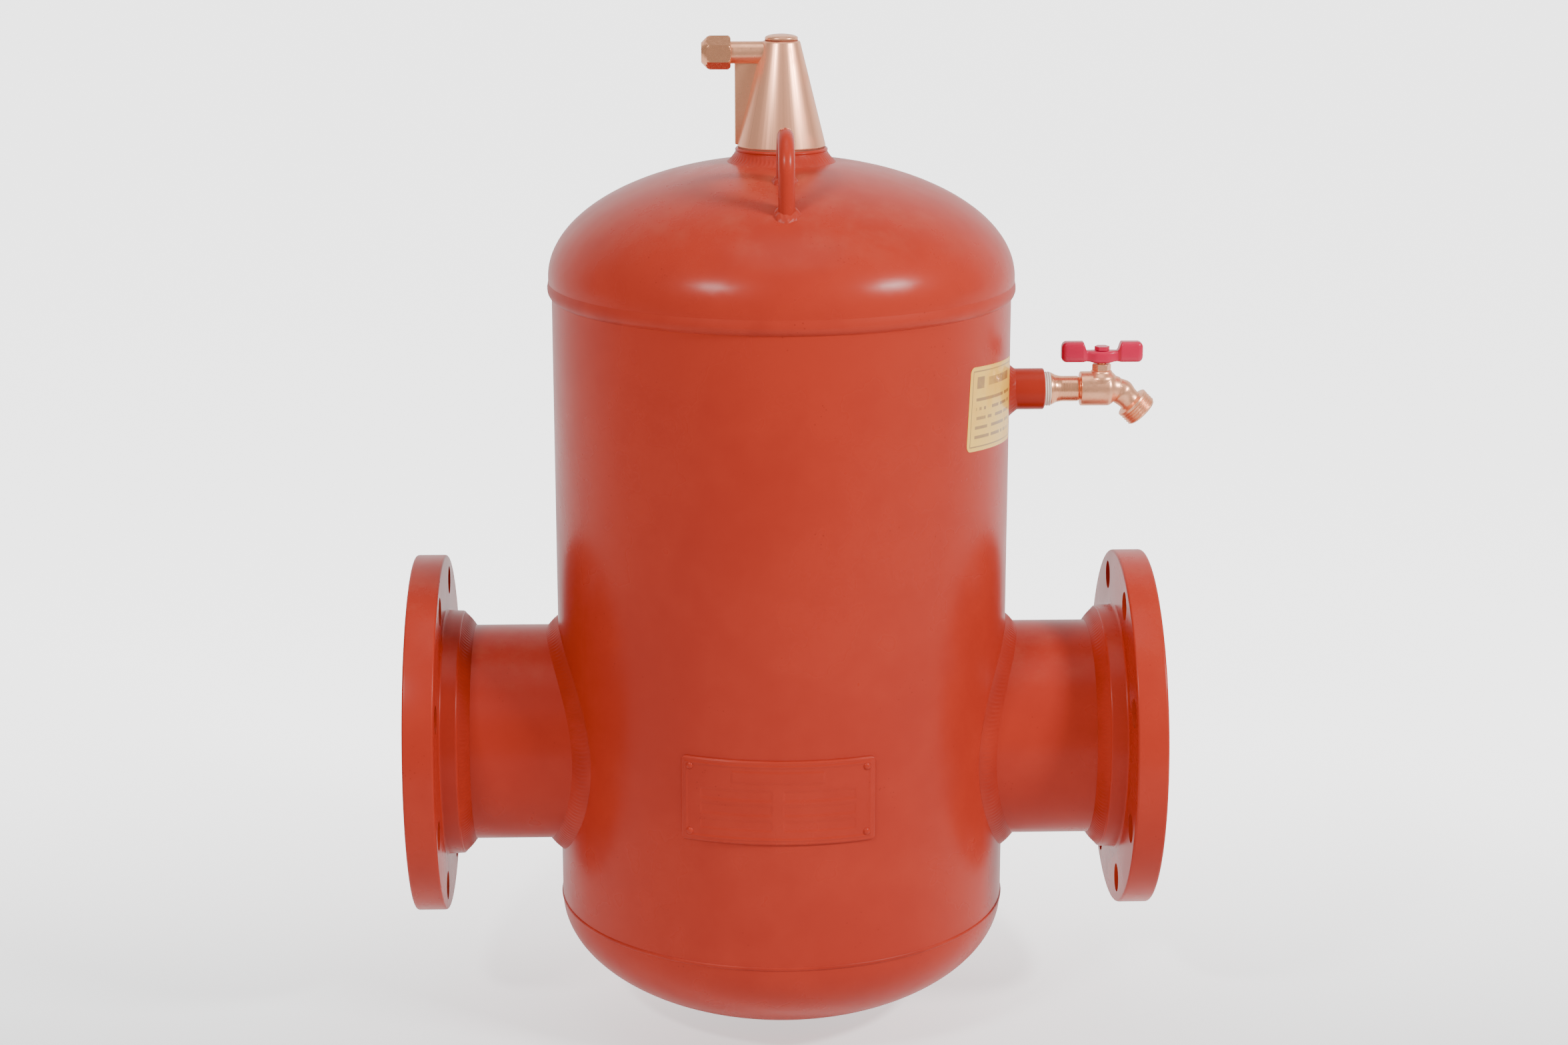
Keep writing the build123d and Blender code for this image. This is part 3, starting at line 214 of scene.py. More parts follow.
class Surface:
    """A mesh being put together from grids of points."""

    def __init__(self, name: str) -> None:
        """Starts an empty mesh under the piece's name."""
        self.name = name
        self.points: list[np.ndarray] = []
        self.faces: list[list[int]] = []
        self.marks: list[int] = []
        self.count = 0

    def grid(self, points: np.ndarray, wrap_u: bool = True, wrap_v: bool = False, caps: bool = False,
             mark: int = 0) -> Surface:
        """Adds a (u, v, 3) grid as quads.

        Args:
            points: the grid.
            wrap_u: whether the last row joins the first.
            wrap_v: whether the last column joins the first.
            caps: whether the first and last columns are closed by a face each.
            mark: material index of the new faces.

        Returns:
            This surface, so that calls can be chained.
        """
        rows, columns = points.shape[:2]
        index = np.arange(rows * columns).reshape(rows, columns) + self.count
        along = np.vstack([index, index[:1]]) if wrap_u else index
        across = np.hstack([along, along[:, :1]]) if wrap_v else along
        quads = np.stack([across[:-1, :-1], across[1:, :-1], across[1:, 1:], across[:-1, 1:]], axis=-1)
        fresh = quads.reshape(-1, 4).tolist()
        if caps:
            fresh.append(index[::-1, 0].tolist())
            fresh.append(index[:, -1].tolist())
        self.points.append(points.reshape(-1, 3))
        self.faces.extend(fresh)
        self.marks.extend([mark] * len(fresh))
        self.count += rows * columns
        return self

    def make(self, finishes: Sequence["Finish"], sharp: float = 38.0, weld: float = 1e-6) -> bpy.types.Object:
        """Builds the object, closed up and smooth but for its sharp edges.

        Args:
            finishes: one finish for each material index.
            sharp: angle in degrees past which an edge stays hard.
            weld: distance within which points are merged.

        Returns:
            The new object at the origin.
        """
        mesh = bpy.data.meshes.new(self.name)
        mesh.from_pydata(np.concatenate(self.points).tolist(), [], self.faces)
        mesh.polygons.foreach_set("material_index", np.array(self.marks, np.int32))
        piece = bpy.data.objects.new(self.name, mesh)
        bpy.context.scene.collection.objects.link(piece)
        for finish in finishes:
            mesh.materials.append(finish.material())
        close_up(piece, weld)
        shade(piece, sharp)
        return piece


def close_up(piece: bpy.types.Object, weld: float = 1e-6) -> None:
    """Merges doubled points and turns every face outwards.

    Args:
        piece: object whose mesh is mended.
        weld: distance within which points are merged.
    """
    work = bmesh.new()
    work.from_mesh(piece.data)
    bmesh.ops.remove_doubles(work, verts=work.verts, dist=weld)
    bmesh.ops.dissolve_degenerate(work, edges=work.edges, dist=weld)
    bmesh.ops.recalc_face_normals(work, faces=work.faces)
    work.to_mesh(piece.data)
    work.free()
    piece.data.update()


def shade(piece: bpy.types.Object, sharp: float = 38.0) -> None:
    """Smooth shading with hard edges past an angle in degrees."""
    piece.data.polygons.foreach_set("use_smooth", np.ones(len(piece.data.polygons), bool))
    piece.data.set_sharp_from_angle(angle=math.radians(sharp))
    piece.data.update()


def bake_modifiers(piece: bpy.types.Object) -> None:
    """Replaces the piece's mesh by the one its modifiers make."""
    bpy.context.view_layer.update()
    graph = bpy.context.evaluated_depsgraph_get()
    mesh = bpy.data.meshes.new_from_object(piece.evaluated_get(graph))
    piece.modifiers.clear()
    piece.data = mesh


def combine(piece: bpy.types.Object, others: Sequence[bpy.types.Object], operation: str) -> bpy.types.Object:
    """Joins closed solids into one, or cuts them from it.

    Args:
        piece: solid that stays.
        others: solids that are used up.
        operation: UNION, DIFFERENCE or INTERSECT.

    Returns:
        The piece.
    """
    for other in others:
        step = piece.modifiers.new(other.name, "BOOLEAN")
        step.operation = operation
        step.object = other
        step.solver = "EXACT"
    bake_modifiers(piece)
    for other in others:
        bpy.data.objects.remove(other)
    close_up(piece, 1e-5)
    shade(piece)
    return piece


def soften(piece: bpy.types.Object, width: float, segments: int = 2, limit: float = 35.0) -> None:
    """Rounds a piece's sharp edges by a bevel of the given width, in metres."""
    step = piece.modifiers.new("soft_edges", "BEVEL")
    step.width = width
    step.segments = segments
    step.limit_method = "ANGLE"
    step.angle_limit = math.radians(limit)
    bake_modifiers(piece)
    close_up(piece)
    shade(piece)


def face_middles(piece: bpy.types.Object) -> np.ndarray:
    """Middle of every face, as an (n, 3) array."""
    middles = np.empty(len(piece.data.polygons) * 3)
    piece.data.polygons.foreach_get("center", middles)
    return middles.reshape(-1, 3)


def finish_piece(piece: bpy.types.Object, body: str, slot: str, *nodes: str) -> bpy.types.Object:
    """Hands a piece to the frame.

    Args:
        piece: the finished piece.
        body: CAD body it rides on.
        slot: the record's material slot; not used.
        nodes: CAD nodes it stands for.

    Returns:
        The piece.
    """
    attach(piece, body)
    if nodes:
        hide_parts(*nodes)
    LOG.info("%s: %d faces on %s", piece.name, len(piece.data.polygons), body)
    return piece


# ------------------------------------------------------------------ node groups shared by the finishes
Socket = bpy.types.NodeSocket


def add_node(tree: bpy.types.NodeTree, kind: str, settings: dict[str, object] | None = None,
             **inputs: object) -> bpy.types.Node:
    """Adds a node and fills its inputs.

    Args:
        tree: tree that gets the node.
        kind: Blender's node type, without the ShaderNode prefix.
        settings: attributes set on the node itself.
        inputs: value or socket for each input, its name with spaces as underscores.

    Returns:
        The new node.
    """
    item = tree.nodes.new("ShaderNode" + kind)
    for key, value in (settings or {}).items():
        setattr(item, key, value)
    for key, value in inputs.items():
        place = int(key[1:]) if key[0] == "i" and key[1:].isdigit() else key.replace("_", " ")
        port = item.inputs[place]
        if isinstance(value, Socket):
            tree.links.new(value, port)
        else:
            port.default_value = value
    return item


def maths(tree: bpy.types.NodeTree, operation: str, first: object, second: object = 0.0,
          clamp: bool = False) -> Socket:
    """One Math node's result."""
    item = add_node(tree, "Math", {"operation": operation, "use_clamp": clamp}, i0=first, i1=second)
    return item.outputs[0]


def rescale(tree: bpy.types.NodeTree, value: Socket, low: float, high: float, start: float = 0.0,
            end: float = 1.0) -> Socket:
    """Smoothly maps low..high to start..end, held at the ends."""
    return add_node(tree, "MapRange", {"interpolation_type": "SMOOTHSTEP"}, Value=value, From_Min=low,
                    From_Max=high, To_Min=start, To_Max=end).outputs[0]


def mix_colour(tree: bpy.types.NodeTree, share: object, first: object, second: object,
               blend: str = "MIX") -> Socket:
    """Colour mixed from two, by a share."""
    item = add_node(tree, "Mix", {"data_type": "RGBA", "blend_type": blend}, i0=share, i6=first, i7=second)
    return item.outputs[2]


class Group:
    """A node group with named inputs and outputs, built once and kept."""

    def __init__(self, name: str, inputs: dict[str, object], outputs: dict[str, str],
                 body: Callable[[bpy.types.NodeTree, dict[str, Socket]], dict[str, Socket]]) -> None:
        """Describes the group; nothing is built until it is first used."""
        self.name = name
        self.inputs = inputs
        self.outputs = outputs
        self.body = body

    def tree(self) -> bpy.types.NodeTree:
        """The group's node tree, built the first time."""
        known = bpy.data.node_groups.get(self.name)
        if known:
            return known
        tree = bpy.data.node_groups.new(self.name, "ShaderNodeTree")
        for name, value in self.inputs.items():
            kind = {float: "NodeSocketFloat", tuple: "NodeSocketColor", str: "NodeSocketVector"}[type(value)]
            port = tree.interface.new_socket(name, in_out="INPUT", socket_type=kind)
            if not isinstance(value, str):
                port.default_value = value
        for name, kind in self.outputs.items():
            tree.interface.new_socket(name, in_out="OUTPUT", socket_type="NodeSocket" + kind)
        source = tree.nodes.new("NodeGroupInput")
        target = tree.nodes.new("NodeGroupOutput")
        results = self.body(tree, {name: source.outputs[name] for name in self.inputs})
        for name, value in results.items():
            tree.links.new(value, target.inputs[name])
        return tree

    def place(self, tree: bpy.types.NodeTree, **inputs: object) -> bpy.types.Node:
        """Places the group in a tree with its own values.

        Args:
            tree: material's tree.
            inputs: value or socket for each input, its name with spaces as underscores.

        Returns:
            The group node.
        """
        item = tree.nodes.new("ShaderNodeGroup")
        item.node_tree = self.tree()
        for key, value in inputs.items():
            port = item.inputs[key.replace("_", " ")]
            if isinstance(value, Socket):
                tree.links.new(value, port)
            else:
                port.default_value = value
        return item


def mottle_body(tree: bpy.types.NodeTree, ports: dict[str, Socket]) -> dict[str, Socket]:
    """Two sizes of noise, added, as a soft mask from 0 to 1."""
    broad = add_node(tree, "TexNoise", None, Vector=ports["Vector"], Scale=ports["Scale"], Detail=3.0)
    finer = maths(tree, "MULTIPLY", ports["Scale"], 6.0)
    small = add_node(tree, "TexNoise", None, Vector=ports["Vector"], Scale=finer, Detail=2.0)
    total = maths(tree, "MULTIPLY_ADD", small.outputs[0], 0.35)
    tree.links.new(broad.outputs[0], total.node.inputs[2])
    return {"Mask": rescale(tree, total, 0.50, 0.88)}


def dust_body(tree: bpy.types.NodeTree, ports: dict[str, Socket]) -> dict[str, Socket]:
    """Dust that settles on faces that look up, broken by noise."""
    facing = add_node(tree, "NewGeometry").outputs["Normal"]
    upward = add_node(tree, "SeparateXYZ", None, Vector=facing).outputs[2]
    lying = rescale(tree, upward, 0.45, 1.0)
    cloud = add_node(tree, "TexNoise", None, Vector=ports["Vector"], Scale=38.0, Detail=6.0, Roughness=0.7)
    broken = rescale(tree, cloud.outputs[0], 0.42, 0.72)
    mask = maths(tree, "MULTIPLY", lying, broken)
    return {"Mask": maths(tree, "MULTIPLY", mask, ports["Amount"], clamp=True)}


def relief_body(tree: bpy.types.NodeTree, ports: dict[str, Socket]) -> dict[str, Socket]:
    """Height of a sprayed coat: broad waves in the plate under a fine orange-peel skin."""
    waves = add_node(tree, "TexNoise", None, Vector=ports["Vector"], Scale=ports["Wave Scale"], Detail=1.0)
    skin = add_node(tree, "TexNoise", None, Vector=ports["Vector"], Scale=ports["Skin Scale"], Detail=2.0)
    share = maths(tree, "MULTIPLY", skin.outputs[0], ports["Skin Height"])
    low = maths(tree, "MULTIPLY", waves.outputs[0], ports["Wave Height"])
    return {"Height": maths(tree, "ADD", low, share)}


def turning_body(tree: bpy.types.NodeTree, ports: dict[str, Socket]) -> dict[str, Socket]:
    """Tool lines: noise that changes quickly along one stretched direction and hardly along the others."""
    lines = add_node(tree, "TexNoise", None, Vector=ports["Stretched"], Scale=1.0, Detail=4.0, Roughness=0.65)
    tarnish = add_node(tree, "TexNoise", None, Vector=ports["Vector"], Scale=55.0, Detail=5.0)
    return {"Lines": lines.outputs[0], "Tarnish": rescale(tree, tarnish.outputs[0], 0.52, 0.78)}


def speck_body(tree: bpy.types.NodeTree, ports: dict[str, Socket]) -> dict[str, Socket]:
    """Small chips and specks: the cores of Voronoi cells, kept where a noise is high."""
    cells = add_node(tree, "TexVoronoi", None, Vector=ports["Vector"], Scale=ports["Scale"])
    cores = rescale(tree, cells.outputs["Distance"], 0.20, 0.05)
    gate = add_node(tree, "TexNoise", None, Vector=ports["Vector"], Scale=24.0, Detail=3.0)
    return {"Mask": maths(tree, "MULTIPLY", cores, rescale(tree, gate.outputs[0], 0.58, 0.66))}


MOTTLE = Group("mottle", {"Vector": "", "Scale": 9.0}, {"Mask": "Float"}, mottle_body)
DUST = Group("settled_dust", {"Vector": "", "Amount": 0.5}, {"Mask": "Float"}, dust_body)
RELIEF = Group("coat_relief", {"Vector": "", "Wave Scale": 9.0, "Wave Height": 1.0, "Skin Scale": 700.0,
                               "Skin Height": 0.1}, {"Height": "Float"}, relief_body)
TURNING = Group("tool_lines", {"Vector": "", "Stretched": ""}, {"Lines": "Float", "Tarnish": "Float"},
                turning_body)
SPECKS = Group("specks", {"Vector": "", "Scale": 260.0}, {"Mask": "Float"}, speck_body)


# ------------------------------------------------------------------ finishes
Colour = tuple[float, float, float, float]


def linear(red: int, green: int, blue: int) -> Colour:
    """A screen colour of 0 to 255 as the linear colour that shaders use."""
    levels = [value / 255.0 for value in (red, green, blue)]
    curve = [level / 12.92 if level <= 0.04045 else ((level + 0.055) / 1.055) ** 2.4 for level in levels]
    return curve[0], curve[1], curve[2], 1.0


class Finish:
    """A surface finish that makes its material once."""

    name: str

    def material(self) -> bpy.types.Material:
        """The finish's material, built the first time it is asked for."""
        label = "look_" + self.name
        known = bpy.data.materials.get(label)
        if known:
            return known
        fresh = bpy.data.materials.new(label)
        fresh.use_nodes = True
        tree = fresh.node_tree
        tree.nodes.clear()
        target = tree.nodes.new("ShaderNodeOutputMaterial")
        shader = tree.nodes.new("ShaderNodeBsdfPrincipled")
        tree.links.new(shader.outputs[0], target.inputs["Surface"])
        self.dress(tree, shader)
        return fresh

    def dress(self, tree: bpy.types.NodeTree, shader: bpy.types.Node) -> None:
        """Fills in the shader; each finish has its own."""
        raise NotImplementedError


def object_place(tree: bpy.types.NodeTree) -> Socket:
    """The point's place on the object, in metres."""
    return add_node(tree, "TexCoord").outputs["Object"]


@dataclass(frozen=True)
class PaintFinish(Finish):
    """Sprayed enamel over steel: mottled colour, settled dust, small specks, orange-peel skin."""

    name: str
    light: Colour
    deep: Colour
    dust: Colour
    roughness: float = 0.29
    dust_amount: float = 0.22
    wave_height: float = 0.10
    skin_height: float = 0.010
    coat: float = 0.0
    shine: float = 0.14
    bare_radius: float = 0.0
    bare: Colour = (0.10, 0.085, 0.075, 1.0)

    def dress(self, tree: bpy.types.NodeTree, shader: bpy.types.Node) -> None:
        """Wires colour, roughness and bump.

        Inside the bare radius round the run's axis the coat is missing.
        """
        place = object_place(tree)
        mottle = MOTTLE.place(tree, Vector=place, Scale=7.0).outputs["Mask"]
        colour = mix_colour(tree, mottle, self.light, self.deep)
        specks = SPECKS.place(tree, Vector=place, Scale=230.0).outputs["Mask"]
        faint = maths(tree, "MULTIPLY", specks, 0.45)
        colour = mix_colour(tree, faint, colour, tuple(0.45 * value for value in self.deep[:3]) + (1.0,))
        dusty = DUST.place(tree, Vector=place, Amount=self.dust_amount).outputs["Mask"]
        colour = mix_colour(tree, dusty, colour, self.dust)
        base = rescale(tree, mottle, 0.0, 1.0, self.roughness - 0.02, self.roughness + 0.02)
        rough = maths(tree, "MULTIPLY_ADD", dusty, 0.25)
        tree.links.new(base, rough.node.inputs[2])
        if self.bare_radius:
            split = add_node(tree, "SeparateXYZ", None, Vector=place)
            flat = add_node(tree, "CombineXYZ", None, Y=split.outputs[1], Z=split.outputs[2]).outputs[0]
            radius = add_node(tree, "VectorMath", {"operation": "LENGTH"}, i0=flat).outputs["Value"]
            inside = rescale(tree, radius, self.bare_radius, self.bare_radius - 0.0015)
            rust = mix_colour(tree, mottle, self.bare, (0.16, 0.06, 0.03, 1.0))
            colour = mix_colour(tree, inside, colour, rust)
        height = RELIEF.place(tree, Vector=place, Wave_Height=self.wave_height,
                              Skin_Height=self.skin_height).outputs["Height"]
        bump = add_node(tree, "Bump", None, Strength=0.35, Distance=0.0012, Height=height)
        tree.links.new(colour, shader.inputs["Base Color"])
        tree.links.new(rough, shader.inputs["Roughness"])
        tree.links.new(bump.outputs[0], shader.inputs["Normal"])
        shader.inputs["Coat Weight"].default_value = self.coat
        shader.inputs["Coat Roughness"].default_value = 0.18
        shader.inputs["Specular IOR Level"].default_value = self.shine


class Lay(Enum):
    """Direction in which a metal's tool lines repeat, as the stretch of its coordinates."""

    ALONG_X = (1500.0, 30.0, 30.0)
    ALONG_Z = (30.0, 30.0, 1500.0)
    ALL_WAYS = (420.0, 420.0, 420.0)
    UP_THE_CONE = (16.0, 16.0, 0.0)


@dataclass(frozen=True)
class MetalFinish(Finish):
    """Bare metal with tool lines or a cast grain, tarnish in clouds and a slightly uneven shine."""

    name: str
    bright: Colour
    dull: Colour
    lay: Lay
    roughness: float = 0.22
    line_height: float = 0.00006
    metallic: float = 1.0
    axis_x: float = 0.2885

    def dress(self, tree: bpy.types.NodeTree, shader: bpy.types.Node) -> None:
        """Wires tarnish into the colour and the tool lines into roughness and bump."""
        place = object_place(tree)
        if self.lay is Lay.UP_THE_CONE:
            centred = add_node(tree, "VectorMath", {"operation": "SUBTRACT"}, i0=place,
                               i1=(self.axis_x, 0.0, 0.0))
            level = add_node(tree, "VectorMath", {"operation": "MULTIPLY"}, i0=centred.outputs[0],
                             i1=(1.0, 1.0, 0.0))
            heading = add_node(tree, "VectorMath", {"operation": "NORMALIZE"}, i0=level.outputs[0]).outputs[0]
        else:
            heading = place
        stretched = add_node(tree, "Mapping", None, Vector=heading, Scale=self.lay.value).outputs[0]
        turning = TURNING.place(tree, Vector=place, Stretched=stretched)
        colour = mix_colour(tree, turning.outputs["Tarnish"], self.bright, self.dull)
        streak = rescale(tree, turning.outputs["Lines"], 0.3, 0.7, 0.0, 0.22)
        colour = mix_colour(tree, streak, colour, self.dull)
        base = rescale(tree, turning.outputs["Lines"], 0.3, 0.7, self.roughness - 0.05, self.roughness + 0.07)
        rough = maths(tree, "MULTIPLY_ADD", turning.outputs["Tarnish"], 0.12)
        tree.links.new(base, rough.node.inputs[2])
        bump = add_node(tree, "Bump", None, Strength=0.5, Distance=self.line_height,
                        Height=turning.outputs["Lines"])
        tree.links.new(colour, shader.inputs["Base Color"])
        tree.links.new(rough, shader.inputs["Roughness"])
        tree.links.new(bump.outputs[0], shader.inputs["Normal"])
        shader.inputs["Metallic"].default_value = self.metallic


@dataclass(frozen=True)
class SoftFinish(Finish):
    """Plastic, rubber, fibre or tape: mottled colour, fine grain and a little dust."""

    name: str
    light: Colour
    deep: Colour
    roughness: float = 0.5
    grain_scale: float = 900.0
    grain_height: float = 0.0002
    coat: float = 0.0

    def dress(self, tree: bpy.types.NodeTree, shader: bpy.types.Node) -> None:
        """Wires the mottled colour, the grain's bump and its roughness."""
        place = object_place(tree)
        mottle = MOTTLE.place(tree, Vector=place, Scale=30.0).outputs["Mask"]
        colour = mix_colour(tree, mottle, self.light, self.deep)
        height = RELIEF.place(tree, Vector=place, Wave_Scale=60.0, Wave_Height=0.4,
                              Skin_Scale=self.grain_scale, Skin_Height=0.6).outputs["Height"]
        bump = add_node(tree, "Bump", None, Strength=0.4, Distance=self.grain_height, Height=height)
        rough = rescale(tree, mottle, 0.0, 1.0, self.roughness - 0.06, self.roughness + 0.08)
        tree.links.new(colour, shader.inputs["Base Color"])
        tree.links.new(rough, shader.inputs["Roughness"])
        tree.links.new(bump.outputs[0], shader.inputs["Normal"])
        shader.inputs["Coat Weight"].default_value = self.coat


@dataclass(frozen=True)
class PaperFinish(Finish):
    """White studio paper with a fine tooth and a slight glow of its own, as from lamps behind it."""

    name: str
    glow: float
    spill: float

    def dress(self, tree: bpy.types.NodeTree, shader: bpy.types.Node) -> None:
        """Wires the paper's tooth and lets the glow rise from the front of the floor to the back.

        What the paper sheds on the object is weaker than its glow, as when its lamps are flagged off.
        """
        place = object_place(tree)
        depth = add_node(tree, "SeparateXYZ", None, Vector=place).outputs[1]
        rise = rescale(tree, depth, -0.6, 0.7)
        seen = add_node(tree, "LightPath").outputs["Is Camera Ray"]
        level = add_node(tree, "MapRange", None, Value=seen, To_Min=self.spill, To_Max=self.glow).outputs[0]
        tree.links.new(maths(tree, "MULTIPLY", rise, level), shader.inputs["Emission Strength"])
        mottle = MOTTLE.place(tree, Vector=place, Scale=3.0).outputs["Mask"]
        tree.links.new(mix_colour(tree, mottle, (0.86, 0.86, 0.86, 1), (0.84, 0.84, 0.84, 1)),
                       shader.inputs["Base Color"])
        tooth = add_node(tree, "TexNoise", None, Vector=place, Scale=160.0, Detail=3.0)
        bump = add_node(tree, "Bump", None, Strength=0.1, Distance=0.0004, Height=tooth.outputs[0])
        tree.links.new(bump.outputs[0], shader.inputs["Normal"])
        shader.inputs["Roughness"].default_value = 0.9
        shader.inputs["Specular IOR Level"].default_value = 0.1
        shader.inputs["Emission Color"].default_value = (1.0, 1.0, 1.0, 1.0)


@dataclass(frozen=True)
class LabelFinish(Finish):
    """Printed film with no words: a frame line, a heading block and rows of short bars on a plain ground."""

    name: str
    ground: Colour
    faded: Colour
    ink: Colour
    rows: float = 9.0
    columns: float = 26.0
    bar_half: float = 0.17
    gaps: float = 0.24
    field: tuple[float, float, float, float] = (0.10, 0.90, 0.11, 0.66)
    heading: tuple[float, float, float, float] = (0.30, 0.82, 0.76, 0.86)
    badge: tuple[float, float, float, float] = (0.10, 0.22, 0.74, 0.88)
    frame_outside: tuple[float, float, float, float] = (0.035, 0.965, 0.045, 0.955)
    frame_inside: tuple[float, float, float, float] = (0.045, 0.955, 0.06, 0.94)

    def bar_mask(self, tree: bpy.types.NodeTree, across: Socket, up: Socket) -> Socket:
        """Rows of bars: a square wave up the label, cut to uneven words by a stepped noise along each row.

        Args:
            tree: material's tree.
            across: place along the label, from 0 to 1.
            up: place up the label, from 0 to 1.

        Returns:
            One where ink lies.
        """
        lifted = maths(tree, "MULTIPLY", up, self.rows)
        row = maths(tree, "FLOOR", lifted)
        within = maths(tree, "FRACT", lifted)
        offset = maths(tree, "ABSOLUTE", maths(tree, "SUBTRACT", within, 0.5))
        stripe = maths(tree, "LESS_THAN", offset, self.bar_half)
        words = maths(tree, "FLOOR", maths(tree, "MULTIPLY", across, self.columns))
        key = add_node(tree, "CombineXYZ", None, X=words, Y=row, Z=3.0).outputs[0]
        chance = add_node(tree, "TexWhiteNoise", {"noise_dimensions": "3D"}, Vector=key).outputs["Value"]
        spaced = maths(tree, "GREATER_THAN", chance, self.gaps)
        return maths(tree, "MULTIPLY", stripe, spaced)

    def within(self, tree: bpy.types.NodeTree, value: Socket, low: float, high: float) -> Socket:
        """One where the value lies between low and high."""
        above = maths(tree, "GREATER_THAN", value, low)
        return maths(tree, "MULTIPLY", above, maths(tree, "LESS_THAN", value, high))

    def block(self, tree: bpy.types.NodeTree, spread: tuple[Socket, Socket],
              sides: tuple[float, float, float, float]) -> Socket:
        """One inside a rectangle of the label.

        Args:
            tree: material's tree.
            spread: place along and up the label, each from 0 to 1.
            sides: left, right, bottom and top of the rectangle.
        """
        left, right, bottom, top = sides
        return maths(tree, "MULTIPLY", self.within(tree, spread[0], left, right),
                     self.within(tree, spread[1], bottom, top))

    def dress(self, tree: bpy.types.NodeTree, shader: bpy.types.Node) -> None:
        """Wires ground, print, wear and a wrinkled film on the piece's own UV map."""
        spread = add_node(tree, "TexCoord").outputs["UV"]
        split = add_node(tree, "SeparateXYZ", None, Vector=spread)
        sheet = (split.outputs[0], split.outputs[1])
        place = object_place(tree)
        mottle = MOTTLE.place(tree, Vector=place, Scale=22.0).outputs["Mask"]
        colour = mix_colour(tree, mottle, self.ground, self.faded)
        printed = maths(tree, "MULTIPLY", self.bar_mask(tree, *sheet), self.block(tree, sheet, self.field))
        marks = maths(tree, "MAXIMUM", self.block(tree, sheet, self.heading),
                      self.block(tree, sheet, self.badge))
        ink = maths(tree, "MAXIMUM", printed, marks)
        frame_line = maths(tree, "SUBTRACT", self.block(tree, sheet, self.frame_outside),
                           self.block(tree, sheet, self.frame_inside))
        ink = maths(tree, "MAXIMUM", ink, frame_line)
        worn = rescale(tree, mottle, 0.0, 1.0, 0.80, 0.45)
        colour = mix_colour(tree, maths(tree, "MULTIPLY", ink, worn), colour, self.ink)
        height = RELIEF.place(tree, Vector=place, Wave_Scale=70.0, Wave_Height=1.0, Skin_Scale=900.0,
                              Skin_Height=0.1).outputs["Height"]
        bump = add_node(tree, "Bump", None, Strength=0.35, Distance=0.0006, Height=height)
        rough = rescale(tree, mottle, 0.0, 1.0, 0.30, 0.46)
        tree.links.new(colour, shader.inputs["Base Color"])
        tree.links.new(rough, shader.inputs["Roughness"])
        tree.links.new(bump.outputs[0], shader.inputs["Normal"])
        shader.inputs["Coat Weight"].default_value = 0.3


RED_LIGHT = (0.440, 0.036, 0.018, 1.0)
RED_DEEP = (0.400, 0.030, 0.015, 1.0)
RED_WELD = (0.340, 0.024, 0.012, 1.0)
DUST_COLOUR = (0.480, 0.120, 0.075, 1.0)

VESSEL_PAINT = PaintFinish("vessel_paint", RED_LIGHT, RED_DEEP, DUST_COLOUR)
BORED_PAINT = PaintFinish("vessel_paint_bored", RED_LIGHT, RED_DEEP, DUST_COLOUR, bare_radius=0.0805)
WELD_PAINT = PaintFinish("weld_paint", RED_LIGHT, RED_WELD, DUST_COLOUR, roughness=0.40, skin_height=0.03)
HANDLE_ENAMEL = PaintFinish("handle_enamel", (0.62, 0.008, 0.060, 1.0), (0.50, 0.005, 0.045, 1.0),
                            (0.70, 0.12, 0.16, 1.0), roughness=0.26, dust_amount=0.1, wave_height=0.05,
                            shine=0.4)
CAST_BRASS = MetalFinish("cast_brass", (0.98, 0.47, 0.27, 1.0), (0.74, 0.31, 0.17, 1.0), Lay.ALL_WAYS, 0.32,
                         0.0001, 0.8)
CONE_BRASS = MetalFinish("cone_brass", (1.0, 0.47, 0.28, 1.0), (0.94, 0.38, 0.22, 1.0), Lay.UP_THE_CONE, 0.32,
                         0.00001, 0.7)
TURNED_BRASS_Z = MetalFinish("turned_brass_z", (1.0, 0.48, 0.28, 1.0), (0.82, 0.35, 0.20, 1.0), Lay.ALONG_Z,
                             0.28, 0.00002, 0.8)
TURNED_BRASS_X = MetalFinish("turned_brass_x", (0.96, 0.44, 0.24, 1.0), (0.74, 0.31, 0.16, 1.0), Lay.ALONG_X,
                             0.24, 0.000012, 0.8)
DRAWN_BRASS = MetalFinish("drawn_brass", (0.96, 0.44, 0.24, 1.0), (0.74, 0.31, 0.16, 1.0), Lay.ALL_WAYS,
                          0.22, 0.00001, 0.85)
BARE_STEEL = MetalFinish("bare_steel", linear(188, 184, 180), linear(128, 120, 112), Lay.ALL_WAYS, 0.33)
FACED_STEEL = MetalFinish("faced_steel", linear(176, 170, 164), linear(122, 104, 92), Lay.ALL_WAYS, 0.38)
COPPER = MetalFinish("copper_wire", linear(214, 124, 86), linear(150, 76, 50), Lay.ALL_WAYS, 0.30)
TAPE = SoftFinish("ptfe", linear(246, 240, 232), linear(228, 214, 200), 0.42, 1400.0)
RUBBER = SoftFinish("seal_rubber", linear(34, 33, 33), linear(22, 22, 22), 0.6)
FLOAT_PLASTIC = SoftFinish("float_plastic", linear(226, 224, 214), linear(208, 204, 192), 0.45)
FIBRE = SoftFinish("gasket_fibre", linear(168, 98, 74), linear(132, 74, 56), 0.8, 500.0)
LABEL_FILM = LabelFinish("label_film", (0.96, 0.56, 0.06, 1.0), (0.92, 0.48, 0.04, 1.0),
                         (0.22, 0.09, 0.03, 1.0))


